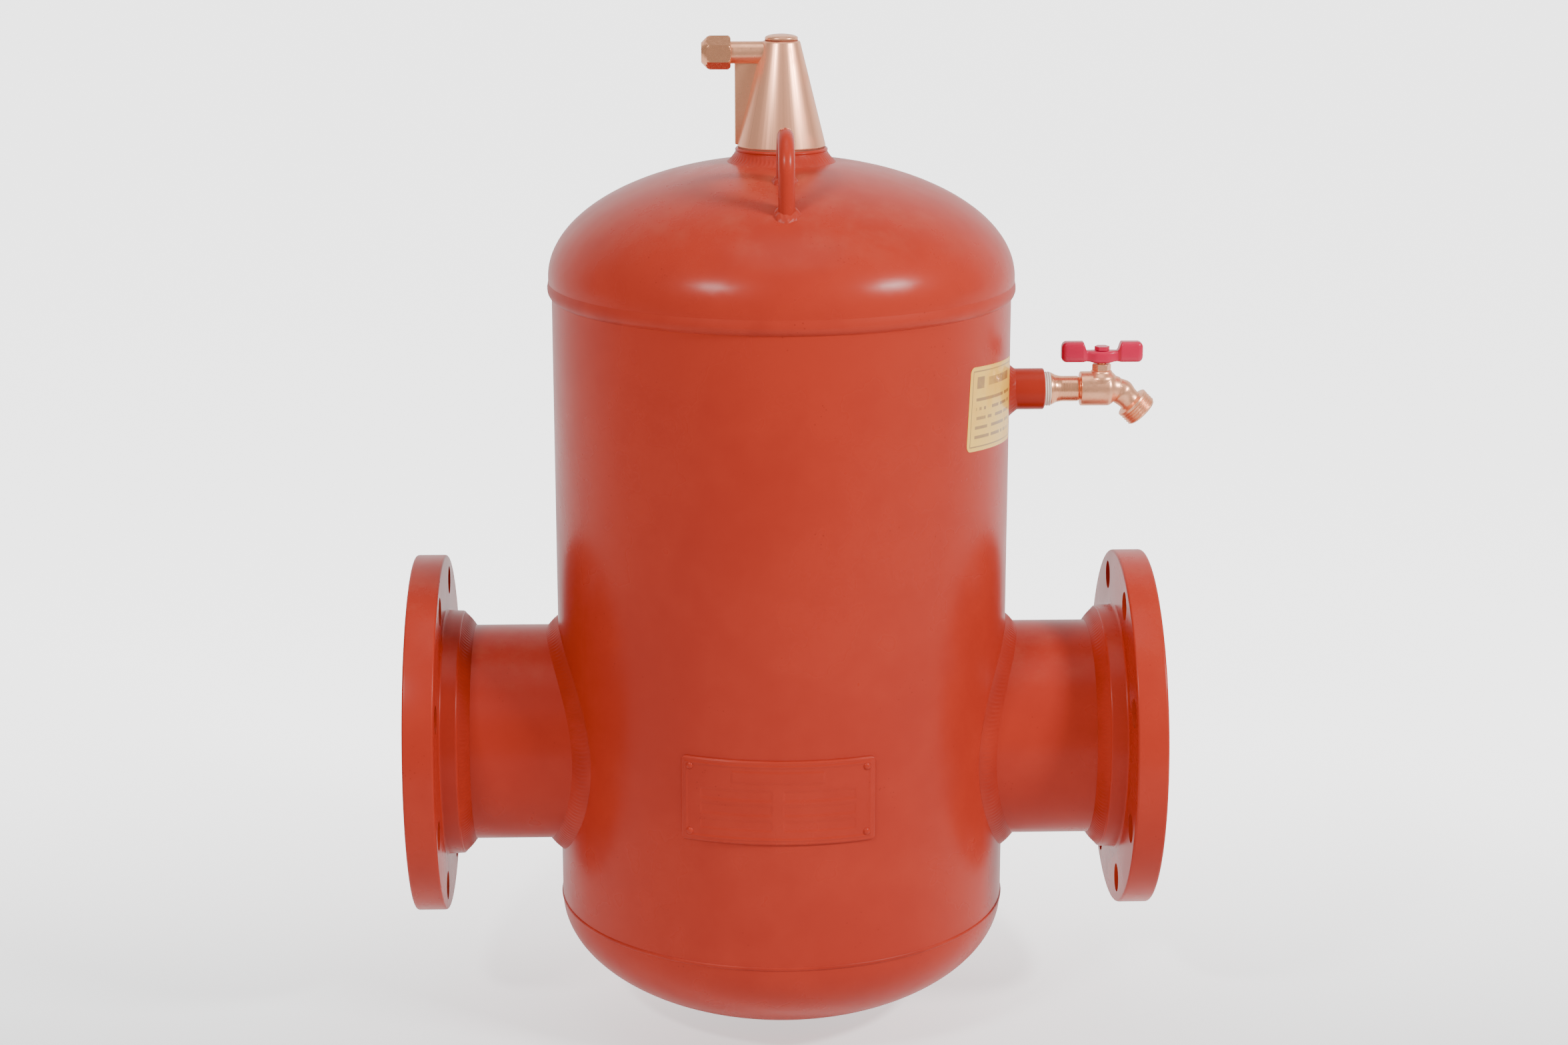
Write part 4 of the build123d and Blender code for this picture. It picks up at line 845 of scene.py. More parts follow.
# ------------------------------------------------------------------ places read from the frame
@dataclass(frozen=True)
class Vessel:
    """Where the vessel's parts stand, from the CAD boxes."""

    axis_x: float
    shell_r: float
    head_r: float
    pipe_r: float
    face_x: tuple[float, float]

    @classmethod
    def read(cls) -> Vessel:
        """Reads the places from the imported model."""
        shell_low, shell_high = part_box("shell")
        head_low, head_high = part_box("top_head")
        pipe_low, pipe_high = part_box("inlet_nozzle")
        left_low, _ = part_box("inlet_flange")
        _, right_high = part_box("outlet_flange")
        return cls(
            axis_x=(shell_low.x + shell_high.x) / 2,
            shell_r=(shell_high.x - shell_low.x) / 2,
            head_r=max(head_high.x - head_low.x, head_high.y - head_low.y) / 2,
            pipe_r=max(pipe_high.y - pipe_low.y, pipe_high.z - pipe_low.z) / 2,
            face_x=(left_low.x, right_high.x),
        )

    def dome(self, radius: np.ndarray | float) -> np.ndarray:
        """Height of the dome's outside: tangent + depth * sqrt(1 - (r/R)^2), the crown's hole closed over."""
        depth = self.head_r / 2
        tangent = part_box("upper_girth_weld")[1].z + 0.003
        return tangent + depth * np.sqrt(np.clip(1 - (np.asarray(radius) / self.head_r) ** 2, 0, 1))


# ------------------------------------------------------------------ welds
@dataclass
class Welds:
    """Weld beads built here: the upper seam, nozzle and flange fillets, boss, coupling and lug feet."""

    vessel: Vessel
    ripple: float = 0.00016
    pitch: float = 0.0032
    across: int = 9

    def section(self) -> np.ndarray:
        """Places across a bead from one toe to the other."""
        return np.linspace(0.0, 1.0, self.across)

    def bead(self, start: np.ndarray, end: np.ndarray, root: np.ndarray, bulge: float,
             length: float) -> np.ndarray:
        """Closed ring of weld between two toe lines.

        A point is start + s (end - start) + n * (4 s (1-s) * bulge + ripple), where n points away from the
        root; the root line closes the section inside the metal.

        Args:
            start: (n, 3) points of the first toe line.
            end: (n, 3) points of the second toe line.
            root: (n, 3) points inside the metal.
            bulge: height of the bead over its chord.
            length: length of the bead, which sets its number of ripples.

        Returns:
            Points on a grid of (n, across + 1, 3).
        """
        place = self.section()[None, :, None]
        chord = start[:, None] * (1 - place) + end[:, None] * place
        middle = (start + end) / 2 - root
        away = (middle / np.linalg.norm(middle, axis=1, keepdims=True))[:, None]
        count = max(8, round(length / self.pitch))
        turns = np.linspace(0.0, count, len(start), endpoint=False)[:, None]
        arch = 4.0 * place[..., 0] * (1 - place[..., 0])
        height = arch * (bulge + self.ripple * 2.0 * (scallops(turns, place[..., 0]) - 0.5))
        return np.concatenate([chord + away * height[..., None], root[:, None]], axis=1)

    def girth(self) -> bpy.types.Object:
        """Ridge at the upper seam, steep under its lower edge and easing into the head above it."""
        low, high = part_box("upper_girth_weld")
        view = self.vessel
        turn = angles(720)
        ring = np.stack([np.cos(turn), np.sin(turn), np.zeros_like(turn)], axis=1)
        centre = np.array([view.axis_x, 0.0, 0.0])
        place = self.section()
        rise = 0.0021 * np.sin(math.pi * place ** 0.72)
        radius = view.shell_r + (view.head_r - view.shell_r) * place + rise
        height = low.z + (high.z - low.z) * place
        ripple = scallops(np.linspace(0, 340, 720, endpoint=False)[:, None], place[None]) - 0.5
        reach = radius[None] + 0.00016 * ripple * np.sin(math.pi * place)[None]
        grid = centre + reach[..., None] * ring[:, None] + height[None, :, None] * np.array([0, 0, 1.0])
        root = centre + (view.shell_r - 0.003) * ring + np.array([0, 0, (low.z + high.z) / 2])
        grid = np.concatenate([grid, root[:, None]], axis=1)
        piece = Surface("upper_seam").grid(grid, wrap_v=True).make([WELD_PAINT], 55)
        return finish_piece(piece, VESSEL, "vessel_paint", "upper_girth_weld")

    def saddle(self, side: int, post_r: float, centre_z: float, leg_post: np.ndarray, leg_shell: np.ndarray,
               bulge: float, turn: np.ndarray) -> np.ndarray:
        """Fillet where a level post meets the upright shell.

        Round the post, y = r cos a and z = r sin a; the shell stands at x = sqrt(R^2 - y^2) there. One toe is
        further out along the post, the other further up the shell.

        Args:
            side: -1 for a post on the inlet side, 1 on the outlet side.
            post_r: post's radius.
            centre_z: height of the post's axis.
            leg_post: leg along the post at each angle.
            leg_shell: leg on the shell at each angle.
            bulge: bead's height over its chord.
            turn: angles round the post.

        Returns:
            Points of the bead's grid.
        """
        view = self.vessel

        def on_shell(radius: np.ndarray, out: np.ndarray | float) -> np.ndarray:
            """Points at a radius from the post's axis, that far out from the shell."""
            across = radius * np.cos(turn)
            reach = np.sqrt(view.shell_r ** 2 - across ** 2) + out
            return np.stack([view.axis_x + side * reach, across, centre_z + radius * np.sin(turn)], axis=1)

        size = np.full_like(turn, post_r)
        start = on_shell(size, leg_post)
        end = on_shell(size + leg_shell, 0.0)
        root = on_shell(size - 0.0008, -0.0012)
        return self.bead(start, end, root, bulge, TURN * post_r)

    def nozzles(self) -> bpy.types.Object:
        """Fillets between the pipe stubs and the shell."""
        turn = angles(960)
        legs = np.full_like(turn, 0.0092)
        work = Surface("nozzle_fillets")
        for side in (-1, 1):
            work.grid(self.saddle(side, self.vessel.pipe_r, 0.0, legs, legs, 0.0004, turn), wrap_v=True)
        return finish_piece(work.make([WELD_PAINT], 60), VESSEL, "vessel_paint", "nozzle_welds")

    def coupling(self) -> bpy.types.Object:
        """Fillet round the skim coupling, heavier underneath."""
        low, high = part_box("skim_coupling")
        turn = angles(320)
        under = smooth_step(0.1, -0.9, np.sin(turn))
        post_r = (high.y - low.y) / 2
        grid = self.saddle(1, post_r, (low.z + high.z) / 2, 0.005 + 0.0018 * under, 0.0042 + 0.0016 * under,
                           -0.0004, turn)
        piece = Surface("coupling_fillet").grid(grid, wrap_v=True).make([WELD_PAINT], 60)
        return finish_piece(piece, VESSEL, "vessel_paint", "skim_coupling_weld")

    def flanges(self) -> bpy.types.Object:
        """Ramp of weld behind each hub, and the ring that seals the pipe's end inside the bore."""
        hub_r = 0.0942
        hub_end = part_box("inlet_flange")[1].x
        pipe_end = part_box("inlet_nozzle")[0].x
        turn = angles(840)
        ring = np.stack([np.zeros_like(turn), np.cos(turn), np.sin(turn)], axis=1)
        work = Surface("flange_fillets")
        for side in (0, 1):
            face = self.vessel.face_x[side]
            inward = 1 - 2 * side

            def at(depth: float, radius: float) -> np.ndarray:
                """Points at a depth behind the face and a radius from the run's axis."""
                return ring * radius + np.array([face + inward * depth, 0.0, 0.0])

            pipe_r = self.vessel.pipe_r
            work.grid(self.bead(at(hub_end - 0.0002, hub_r), at(hub_end + 0.0085, pipe_r + 0.0001),
                                at(hub_end - 0.0005, pipe_r - 0.0006), 0.0004, TURN * pipe_r), wrap_v=True)
            work.grid(self.bead(at(pipe_end - 0.0065, pipe_r + 0.0011),
                                at(pipe_end + 0.0002, pipe_r - 0.0036),
                                at(pipe_end + 0.0005, pipe_r + 0.0014), 0.0003, TURN * pipe_r), wrap_v=True)
        return finish_piece(work.make([WELD_PAINT], 60), VESSEL, "vessel_paint", "flange_welds")

    def boss(self) -> bpy.types.Object:
        """Flared fillet between the vent boss and the dome."""
        view = self.vessel
        low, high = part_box("vent_boss")
        boss_r = (high.x - low.x) / 2
        toe_r = boss_r + 0.0062
        turn = angles(400)
        ring = np.stack([np.cos(turn), np.sin(turn), np.zeros_like(turn)], axis=1)
        centre = np.array([view.axis_x, 0.0, 0.0])

        def at(radius: float, height: float) -> np.ndarray:
            """Points at a radius from the vessel's axis and a height."""
            return centre + ring * radius + np.array([0.0, 0.0, height])

        grid = self.bead(at(boss_r, float(view.dome(boss_r)) + 0.0066), at(toe_r, float(view.dome(toe_r))),
                         at(boss_r - 0.0006, float(view.dome(boss_r)) - 0.0015), -0.0006, TURN * boss_r)
        piece = Surface("boss_fillet").grid(grid, wrap_v=True).make([WELD_PAINT], 60)
        return finish_piece(piece, VESSEL, "vessel_paint", "vent_boss_weld")

    def lug_feet(self) -> bpy.types.Object:
        """Lumpy rings where the lug bars stand on the dome."""
        view = self.vessel
        turn = angles(96)
        work = Surface("lug_foot_beads")
        for node in ("front_lifting_lug", "rear_lifting_lug"):
            low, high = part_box(node)
            bar_r = (high.x - low.x) / 2
            for centre_y in (low.y + bar_r, high.y - bar_r):

                def on_dome(radius: np.ndarray, lift: np.ndarray | float) -> np.ndarray:
                    """Points round the bar at a radius, lifted off the dome."""
                    east = radius * np.cos(turn)
                    north = centre_y + radius * np.sin(turn)
                    height = view.dome(np.hypot(east, north)) + lift
                    return np.stack([view.axis_x + east, north, height], axis=1)

                lump = 0.0005 * np.sin(3 * turn + 1.3) + 0.0003 * np.sin(7 * turn)
                size = np.full_like(turn, bar_r)
                work.grid(self.bead(on_dome(size, 0.0034 + lump), on_dome(size + 0.0036 + lump, 0.0),
                                    on_dome(size - 0.001, -0.001), 0.0005, TURN * bar_r), wrap_v=True)
        return finish_piece(work.make([WELD_PAINT], 60), VESSEL, "vessel_paint", "lug_welds")


# ------------------------------------------------------------------ flanges
@dataclass
class Flange:
    """A slip-on flange with a grooved gasket face, an eased rim, a filleted hub and drilled bolt holes."""

    vessel: Vessel
    side: int
    rim_r: float = 0.1397
    thickness: float = 0.0254
    face_height: float = 0.0016
    face_r: float = 0.10795
    hub_r: float = 0.09605
    hub_length: float = 0.0396
    bore_r: float = 0.08535
    bolt_circle_r: float = 0.12065
    bolt_r: float = 0.0111
    bolts: int = 8
    groove_pitch: float = 0.0009
    groove_depth: float = 0.00016

    def profile(self) -> np.ndarray:
        """Section of the flange as distance from the face and radius, its gasket face finely grooved."""
        count = int((self.face_r - self.bore_r - 0.003) / self.groove_pitch)
        radii = np.repeat(np.linspace(self.bore_r + 0.0015, self.face_r - 0.0015, count), 2)
        depth = np.tile([0.0, self.groove_depth], count)
        radii[1::2] += self.groove_pitch / 2
        grooves = np.stack([depth, radii], axis=1)
        back = eased([
            (0.0, self.face_r - 0.0006), (0.0, self.face_r), (self.face_height, self.face_r + 0.0004),
            (self.face_height, self.rim_r), (self.thickness, self.rim_r), (self.thickness, self.hub_r),
            (self.hub_length, self.hub_r - 0.0006), (self.hub_length, self.bore_r), (0.0, self.bore_r),
            (0.0, self.bore_r + 0.0006),
        ], 0.0022, steps=5)
        return np.concatenate([grooves, back])

    def build(self) -> bpy.types.Object:
        """Spins the section, drills the bolt holes and leaves the gasket face bare."""
        node = ("inlet_flange", "outlet_flange")[self.side]
        inward = (1 - 2 * self.side, 0, 0)
        centre = (self.vessel.face_x[self.side], 0, 0)
        grid = spun(self.profile(), centre, inward, 240)
        piece = Surface(node + "_body").grid(grid, wrap_v=True).make([VESSEL_PAINT, FACED_STEEL])
        drills = Surface("drills")
        bar = eased([(-0.002, self.bolt_r), (self.thickness + 0.004, self.bolt_r)], 0.001)
        for turn in (np.arange(self.bolts) + 0.5) * TURN / self.bolts:
            middle = np.array(centre) + self.bolt_circle_r * np.array([0, math.cos(turn), math.sin(turn)])
            drills.grid(spun(bar, middle, inward, 48), caps=True)
        combine(piece, [drills.make([VESSEL_PAINT])], "DIFFERENCE")
        self.bare_face(piece, centre[0])
        return finish_piece(piece, VESSEL, "vessel_paint", node)

    def bare_face(self, piece: bpy.types.Object, face_x: float) -> None:
        """Gives the raised face and the bore bare steel, by how near each face's middle is to them."""
        middles = face_middles(piece)
        radius = np.hypot(middles[:, 1], middles[:, 2])
        on_face = (np.abs(middles[:, 0] - face_x) < 0.0004) & (radius < self.face_r)
        in_bore = radius < self.bore_r + 0.0004
        piece.data.polygons.foreach_set("material_index", (on_face | in_bore).astype(np.int32))


# ------------------------------------------------------------------ nuts and hexagons
def hexagon(start: Sequence[float], axis: Sequence[float], length: float, flats: float, bore: float,
            bevel_start: float, bevel_end: float, bevel_slope: float = 0.5, steps: int = 144,
            pocket: float | None = None) -> np.ndarray:
    """Hexagon bar with turned ends and a hole.

    The outside is the lesser of the hexagon's radius, h / cos(a folded into one flat), and a cone that the
    turned end gives, corner radius less bevel plus slope times the distance from the end.

    Args:
        start: centre of the first end.
        axis: direction of the bar.
        length: length of the bar.
        flats: distance across flats.
        bore: radius of the hole.
        bevel_start: how far the cone at the first end cuts into the corners.
        bevel_end: the same at the far end.
        bevel_slope: rise of the cone for each metre along the bar, as a share of the bevel.
        steps: divisions round the bar.
        pocket: depth of the hole from the far end; None for a through hole.

    Returns:
        Grid that is closed on itself both ways for a through hole, and otherwise needs its ends capped.
    """
    half = flats / 2
    corner = half / math.cos(math.pi / 6)
    reach = np.unique(np.concatenate([np.linspace(0, 1, 9) ** 2 * length / 2,
                                      length - np.linspace(0, 1, 9) ** 2 * length / 2]))
    along = unit(axis)
    first, second = cross_basis(along)
    turn = angles(steps)[:, None]
    fold = np.mod(turn, math.pi / 3) - math.pi / 6
    flat_r = half / np.cos(fold)
    cone = np.minimum(corner - bevel_start + reach / bevel_slope,
                      corner - bevel_end + (length - reach) / bevel_slope)
    outside = np.minimum(flat_r, cone[None])
    floor = 0.0 if pocket is None else length - pocket
    edge = 0.0004
    holes = np.array([[length, bore + edge], [length - edge, bore], [floor + edge, bore],
                      [floor, bore - edge]])
    if pocket is None:
        holes = np.array([[length, bore + edge], [length - edge, bore], [edge, bore], [0.0, bore + edge]])
    radius = np.concatenate([outside, np.repeat(holes[None, :, 1], steps, axis=0)], axis=1)
    place = np.concatenate([reach, holes[:, 0]])
    offset = np.cos(turn)[..., None] * first + np.sin(turn)[..., None] * second
    return np.asarray(start, float) + place[None, :, None] * along + radius[..., None] * offset


# ------------------------------------------------------------------ boss and vent
@dataclass
class Vent:
    """Conical float vent: boss, brass cone with side spout and web, hexagon on the spout, low domed cap."""

    vessel: Vessel
    base_r: float = 0.0335
    top_r: float = 0.0140
    spout_r: float = 0.0083
    web_reach: float = 0.035
    web_half: float = 0.00225
    cap_r: float = 0.0124
    cap_skirt: float = 0.36
    hex_bore: float = 0.0072
    hex_pocket: float = 0.013

    def boss(self) -> bpy.types.Object:
        """Turned steel boss with a stepped lip and a chamfer, painted with the vessel."""
        low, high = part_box("vent_boss")
        radius = (high.x - low.x) / 2
        height = high.z - low.z
        outline = eased([
            (0.0, 0.0262), (0.0, radius), (height - 0.0030, radius), (height - 0.0026, radius - 0.0005),
            (height - 0.0020, radius), (height - 0.0010, radius), (height, radius - 0.0011),
            (height, 0.0292), (height - 0.010, 0.0292), (height - 0.010, 0.0262),
        ], 0.0004, closed=True, steps=3)
        grid = spun(outline, (self.vessel.axis_x, 0, low.z), (0, 0, 1), 192)
        piece = Surface("boss_ring").grid(grid, wrap_v=True).make([VESSEL_PAINT])
        return finish_piece(piece, VESSEL, "vessel_paint", "vent_boss")

    def casting(self) -> bpy.types.Object:
        """Cone, spout and web as one closed casting."""
        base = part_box("vent_base_gasket")[1].z
        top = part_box("vent_cap_gasket")[0].z
        spout_low, spout_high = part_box("vent_outlet_adapter")
        spout_z = (spout_low.z + spout_high.z) / 2
        centre = (self.vessel.axis_x, 0, base)
        height = top - base
        outline = eased([(0.0, 0.0002), (0.0, self.base_r), (height, self.top_r), (height, 0.0002)], 0.0011)
        cone = Surface("vent_casting").grid(spun(outline, centre, (0, 0, 1), 192), caps=True)
        body = cone.make([CONE_BRASS, CAST_BRASS])
        reach = self.vessel.axis_x - spout_high.x + 0.004
        pipe = eased([(0.004, 0.0002), (0.004, self.spout_r), (reach, self.spout_r), (reach, 0.0002)], 0.0006)
        spout = Surface("spout").grid(spun(pipe, (self.vessel.axis_x, 0, spout_z), (-1, 0, 0), 96), caps=True)
        spout_body = spout.make([CAST_BRASS])
        corners = np.array([(-self.web_reach, base + 0.001), (-self.web_reach, spout_z), (-0.002, spout_z),
                            (-0.002, base + 0.001)])
        across = self.vessel.axis_x + corners[:, 0]
        sheet = np.stack([
            np.stack([across, np.full(len(corners), side * self.web_half), corners[:, 1]], axis=1)
            for side in (-1, 1)
        ], axis=1)
        web = Surface("web").grid(sheet, caps=True).make([CAST_BRASS])
        soften(web, 0.0009, 3)
        combine(body, [spout_body, web], "UNION")
        self.mark_cast(body, base)
        return finish_piece(body, VESSEL, "cast_brass", "vent_body")

    def mark_cast(self, body: bpy.types.Object, base: float) -> None:
        """Leaves the cone turned and everything outside it as cast."""
        middles = face_middles(body)
        radius = np.hypot(middles[:, 0] - self.vessel.axis_x, middles[:, 1])
        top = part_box("vent_cap_gasket")[0].z
        share = np.clip((middles[:, 2] - base) / (top - base), 0, 1)
        cone_r = self.base_r + (self.top_r - self.base_r) * share
        body.data.polygons.foreach_set("material_index", (radius > cone_r + 0.0004).astype(np.int32))

    def outlet(self) -> bpy.types.Object:
        """Hexagon on the spout, its outer end turned to a blunt cone, with a plain blind hole."""
        low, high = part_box("vent_outlet_adapter")
        start = (high.x, 0, (low.z + high.z) / 2)
        grid = hexagon(start, (-1, 0, 0), high.x - low.x, high.z - low.z, self.hex_bore, 0.0016, 0.0052, 1.0,
                       pocket=self.hex_pocket)
        piece = Surface("spout_hexagon").grid(grid, caps=True).make([DRAWN_BRASS], 30)
        return finish_piece(piece, VESSEL, "turned_brass", "vent_outlet_adapter")

    def cap(self) -> bpy.types.Object:
        """Low cap: a short turned skirt under a shallow dome with a small flat."""
        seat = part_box("vent_cap_gasket")[1].z
        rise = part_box("vent_cap")[1].z - seat
        share = np.linspace(0.0, 1.0, 14)
        dome = np.stack([rise * (self.cap_skirt + (1 - self.cap_skirt) * np.cos(share[::-1] * math.pi / 2)),
                         self.cap_r * np.sin(share[::-1] * math.pi / 2) * 0.985 + 0.0001], axis=1)
        outline = np.concatenate([[(0.0, 0.0002), (0.0, self.cap_r - 0.0005), (0.0005, self.cap_r),
                                   (rise * self.cap_skirt, self.cap_r)], dome])
        grid = spun(outline, (self.vessel.axis_x, 0, seat), (0, 0, 1), 128)
        piece = Surface("vent_top_cap").grid(grid, caps=True).make([TURNED_BRASS_Z])
        return finish_piece(piece, VESSEL, "turned_brass", "vent_cap")


# ------------------------------------------------------------------ skim valve
@dataclass
class SkimValve:
    """Quarter-turn drain valve: tape, inlet neck, body with bonnet and hose outlet, T handle."""

    vessel: Vessel
    bore_r: float = 0.0050
    groove_r: float = 0.0088
    neck_r: float = 0.0098
    body_r: float = 0.0133
    bonnet_r: float = 0.0078
    outlet_r: float = 0.0088
    thread_r: float = 0.0135
    thread_pitch: float = 0.0022
    thread_depth: float = 0.0010
    outlet_drop: float = 45.0
    outlet_neck: float = 0.0140
    hose_length: float = 0.0130
    bend_r: float = 0.0100
    bend_outset: float = 0.0295
    nut_height: float = 0.005
    handle_end: float = 0.0042

    def axis_z(self) -> float:
        """Height of the valve's bore."""
        low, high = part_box("valve_inlet_adapter")
        return (low.z + high.z) / 2

    def tape(self) -> bpy.types.Object:
        """White sealing tape that follows the thread under it, frayed a little at its edge."""
        low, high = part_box("thread_tape")
        width = high.x - low.x
        place = np.linspace(0.0, width, 40)
        outer = (high.z - low.z) / 2 - 0.00035
        profile = np.stack([place, np.full_like(place, outer)], axis=1)
        profile[0, 1] -= 0.0010
        profile[-1, 1] -= 0.0009

        def threads(turn: np.ndarray, along: np.ndarray) -> np.ndarray:
            """Thread crests seen through the tape and soft folds round it."""
            crest = 0.00026 * np.cos(TURN * along / 0.0018 - turn)
            return crest + 0.00007 * np.sin(9 * turn + 400 * along)

        inner = np.array([[width, 0.0128], [0.0, 0.0128]])
        grid = spun(profile, (low.x, 0, self.axis_z()), (1, 0, 0), 128, threads)
        hole = spun(inner, (low.x, 0, self.axis_z()), (1, 0, 0), 128)
        work = Surface("sealing_tape").grid(np.concatenate([grid, hole], axis=1), wrap_v=True)
        piece = work.make([TAPE], 50)
        return finish_piece(piece, VESSEL, "ptfe", "thread_tape")

    def neck(self) -> bpy.types.Object:
        """Inlet neck: flares to its pipe thread, waists in and ends in a groove at the body."""
        low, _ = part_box("valve_inlet_adapter")
        tape_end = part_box("thread_tape")[1].x
        body_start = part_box("valve_body")[0].x
        flare = tape_end - low.x
        length = body_start - low.x
        outline = eased([
            (0.0, self.bore_r), (0.0, 0.0122), (flare - 0.0002, 0.0128), (flare + 0.0008, 0.0126),
            (flare + 0.0045, 0.0106), (flare + 0.0085, self.neck_r), (length - 0.0018, self.neck_r),
            (length - 0.0012, self.groove_r), (length + 0.0006, self.groove_r),
            (length + 0.0006, self.bore_r),
        ], 0.0012, closed=True)
        grid = spun(outline, (low.x, 0, self.axis_z()), (1, 0, 0), 128)
        piece = Surface("valve_neck").grid(grid, wrap_v=True).make([TURNED_BRASS_X])
        return finish_piece(piece, VESSEL, "turned_brass", "valve_inlet_adapter")

    def outlet_path(self, start_x: float, bend_x: float, end: float) -> np.ndarray:
        """Level run, circular bend and straight run at the outlet's slope.

        Args:
            start_x: where the path starts, on the valve's axis.
            bend_x: where the two runs' lines meet.
            end: length of the sloping run from that corner.

        Returns:
            (n, 3) points.
        """
        drop = math.radians(self.outlet_drop)
        tangent = self.bend_r * math.tan(drop / 2)
        level = self.axis_z()
        share = np.linspace(0.0, drop, 12)
        arc = np.stack([bend_x - tangent + self.bend_r * np.sin(share), np.zeros(12),
                        level - self.bend_r * (1 - np.cos(share))], axis=1)
        slope = np.array([math.cos(drop), 0.0, -math.sin(drop)])
        first = np.array([[start_x, 0.0, level]])
        run = np.array([bend_x, 0.0, level]) + np.linspace(tangent + 0.001, end, 10)[:, None] * slope
        return np.concatenate([first, arc, run])

    def body(self) -> bpy.types.Object:
        """Barrel, flared bonnet, sloping outlet neck and hose thread joined into one casting."""
        low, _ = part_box("valve_body")
        level = self.axis_z()
        stem_x = (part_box("valve_stem")[0].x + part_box("valve_stem")[1].x) / 2
        bonnet_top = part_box("packing_nut")[1].z - self.nut_height
        barrel = eased([(0.0, 0.0070), (0.0, self.body_r - 0.0004), (0.0006, self.body_r),
                        (0.0225, self.body_r), (0.0262, self.body_r - 0.0030),
                        (0.0320, self.outlet_r - 0.0004), (0.0325, 0.0002)], 0.0020)
        casting = Surface("valve_casting").grid(spun(barrel, (low.x, 0, level), (1, 0, 0), 128), caps=True)
        body = casting.make([CAST_BRASS])
        height = bonnet_top - level
        bonnet = eased([(0.0, 0.0002), (0.0, 0.0122), (0.0098, 0.0118), (0.0128, self.bonnet_r + 0.0006),
                        (height, self.bonnet_r), (height, 0.0002)], 0.0022)
        tower = spun(bonnet, (stem_x, 0, level), (0, 0, 1), 96)
        stack = Surface("bonnet").grid(tower, caps=True).make([CAST_BRASS])
        bend_x = low.x + self.bend_outset
        path = self.outlet_path(low.x + 0.022, bend_x, self.outlet_neck + 0.003)
        swell = self.outlet_r + 0.0012 * smooth_step(0.006, 0.0, np.abs(np.arange(len(path)) - 12) * 0.001)
        elbow = Surface("elbow").grid(tube_round(path, swell, 96), caps=True).make([CAST_BRASS])
        combine(body, [stack, elbow, self.hose_end(bend_x, level)], "UNION")
        return finish_piece(body, VESSEL, "cast_brass", "valve_body")

    def hose_end(self, bend_x: float, level: float) -> bpy.types.Object:
        """Collar and hose thread: the radius falls by half a cosine of the place along less the turn."""
        drop = math.radians(self.outlet_drop)
        slope = np.array([math.cos(drop), 0.0, -math.sin(drop)])
        start = np.array([bend_x, 0.0, level]) + slope * self.outlet_neck
        length = self.hose_length
        place = np.linspace(0.0, length, 90)
        radius = np.full_like(place, self.thread_r)
        radius -= 0.0042 * smooth_step(0.0016, 0.0, place)
        radius -= 0.0012 * smooth_step(length - 0.0012, length, place)
        profile = np.concatenate([[(0.0, 0.0002)], np.stack([place, radius], axis=1),
                                  [(length, 0.0086), (length - 0.010, 0.0050), (length - 0.0105, 0.0002)]])

        def thread(turn: np.ndarray, along: np.ndarray) -> np.ndarray:
            """Helical groove, faded out at the collar and at the end."""
            wave = 0.5 - 0.5 * np.cos(TURN * along / self.thread_pitch - turn)
            fade = smooth_step(0.0030, 0.0042, along) * smooth_step(length, length - 0.0012, along)
            outside = np.arange(along.shape[1])[None] <= 90
            return -self.thread_depth * wave * fade * outside

        grid = spun(profile, start, slope, 128, thread)
        return Surface("hose_end").grid(grid, caps=True).make([CAST_BRASS])

    def nut(self) -> bpy.types.Object:
        """Packing nut under the handle."""
        low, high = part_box("packing_nut")
        stem_x = (low.x + high.x) / 2
        base = high.z - self.nut_height
        grid = hexagon((stem_x, 0, base), (0, 0, 1), self.nut_height, high.y - low.y, 0.0037, 0.0003, 0.0008,
                       1.0)
        piece = Surface("gland_nut").grid(grid, wrap_v=True).make([TURNED_BRASS_Z], 30)
        return finish_piece(piece, VESSEL, "turned_brass", "packing_nut")

    def handle(self) -> bpy.types.Object:
        """T handle: a bar whose section is a rounded box, thick under its hub and raised at both wings.

        At each place along the bar the section is a superellipse, |y/w|^4 + |z/h|^4 = 1, with its own top,
        bottom and half width.
        """
        low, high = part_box("valve_handle")
        centre = (low + high) / 2
        span = high.x - low.x
        place = np.linspace(-1.0, 1.0, 121)
        place = np.sign(place) * (1 - (1 - np.abs(place)) ** 1.25)
        along = place * span / 2
        wing = smooth_step(0.0115, 0.0150, np.abs(along))
        hub = np.exp(-(along / 0.0085) ** 4)
        bar_top = low.z + 0.0098
        top = bar_top + (high.z - 0.0002 - bar_top) * wing
        past = np.clip((np.abs(along) - span / 2 + self.handle_end) / self.handle_end, 0, 1)
        ends = np.sqrt(np.clip(1 - past ** 2, 0, 1))
        top = top - 0.0046 * (1 - ends)
        bottom = low.z + 0.0014 * (1 - hub) * (1 - 0.4 * wing) + 0.0040 * (1 - ends)
        width = (0.0045 + 0.0018 * wing + 0.0019 * hub) * (0.35 + 0.65 * ends)
        turn = angles(56)[:, None]
        power = 2.0 / 4.2
        across = np.sign(np.cos(turn)) * np.abs(np.cos(turn)) ** power
        upright = np.sign(np.sin(turn)) * np.abs(np.sin(turn)) ** power
        middle = (top + bottom) / 2
        half = (top - bottom) / 2
        lengthwise = np.broadcast_to(centre.x + along, (len(turn), len(place)))
        grid = np.stack([lengthwise, across * width, middle + upright * half], axis=-1)
        piece = Surface("t_handle").grid(grid, caps=True).make([HANDLE_ENAMEL], 60)
        return finish_piece(piece, HANDLE, "handle_enamel", "valve_handle")


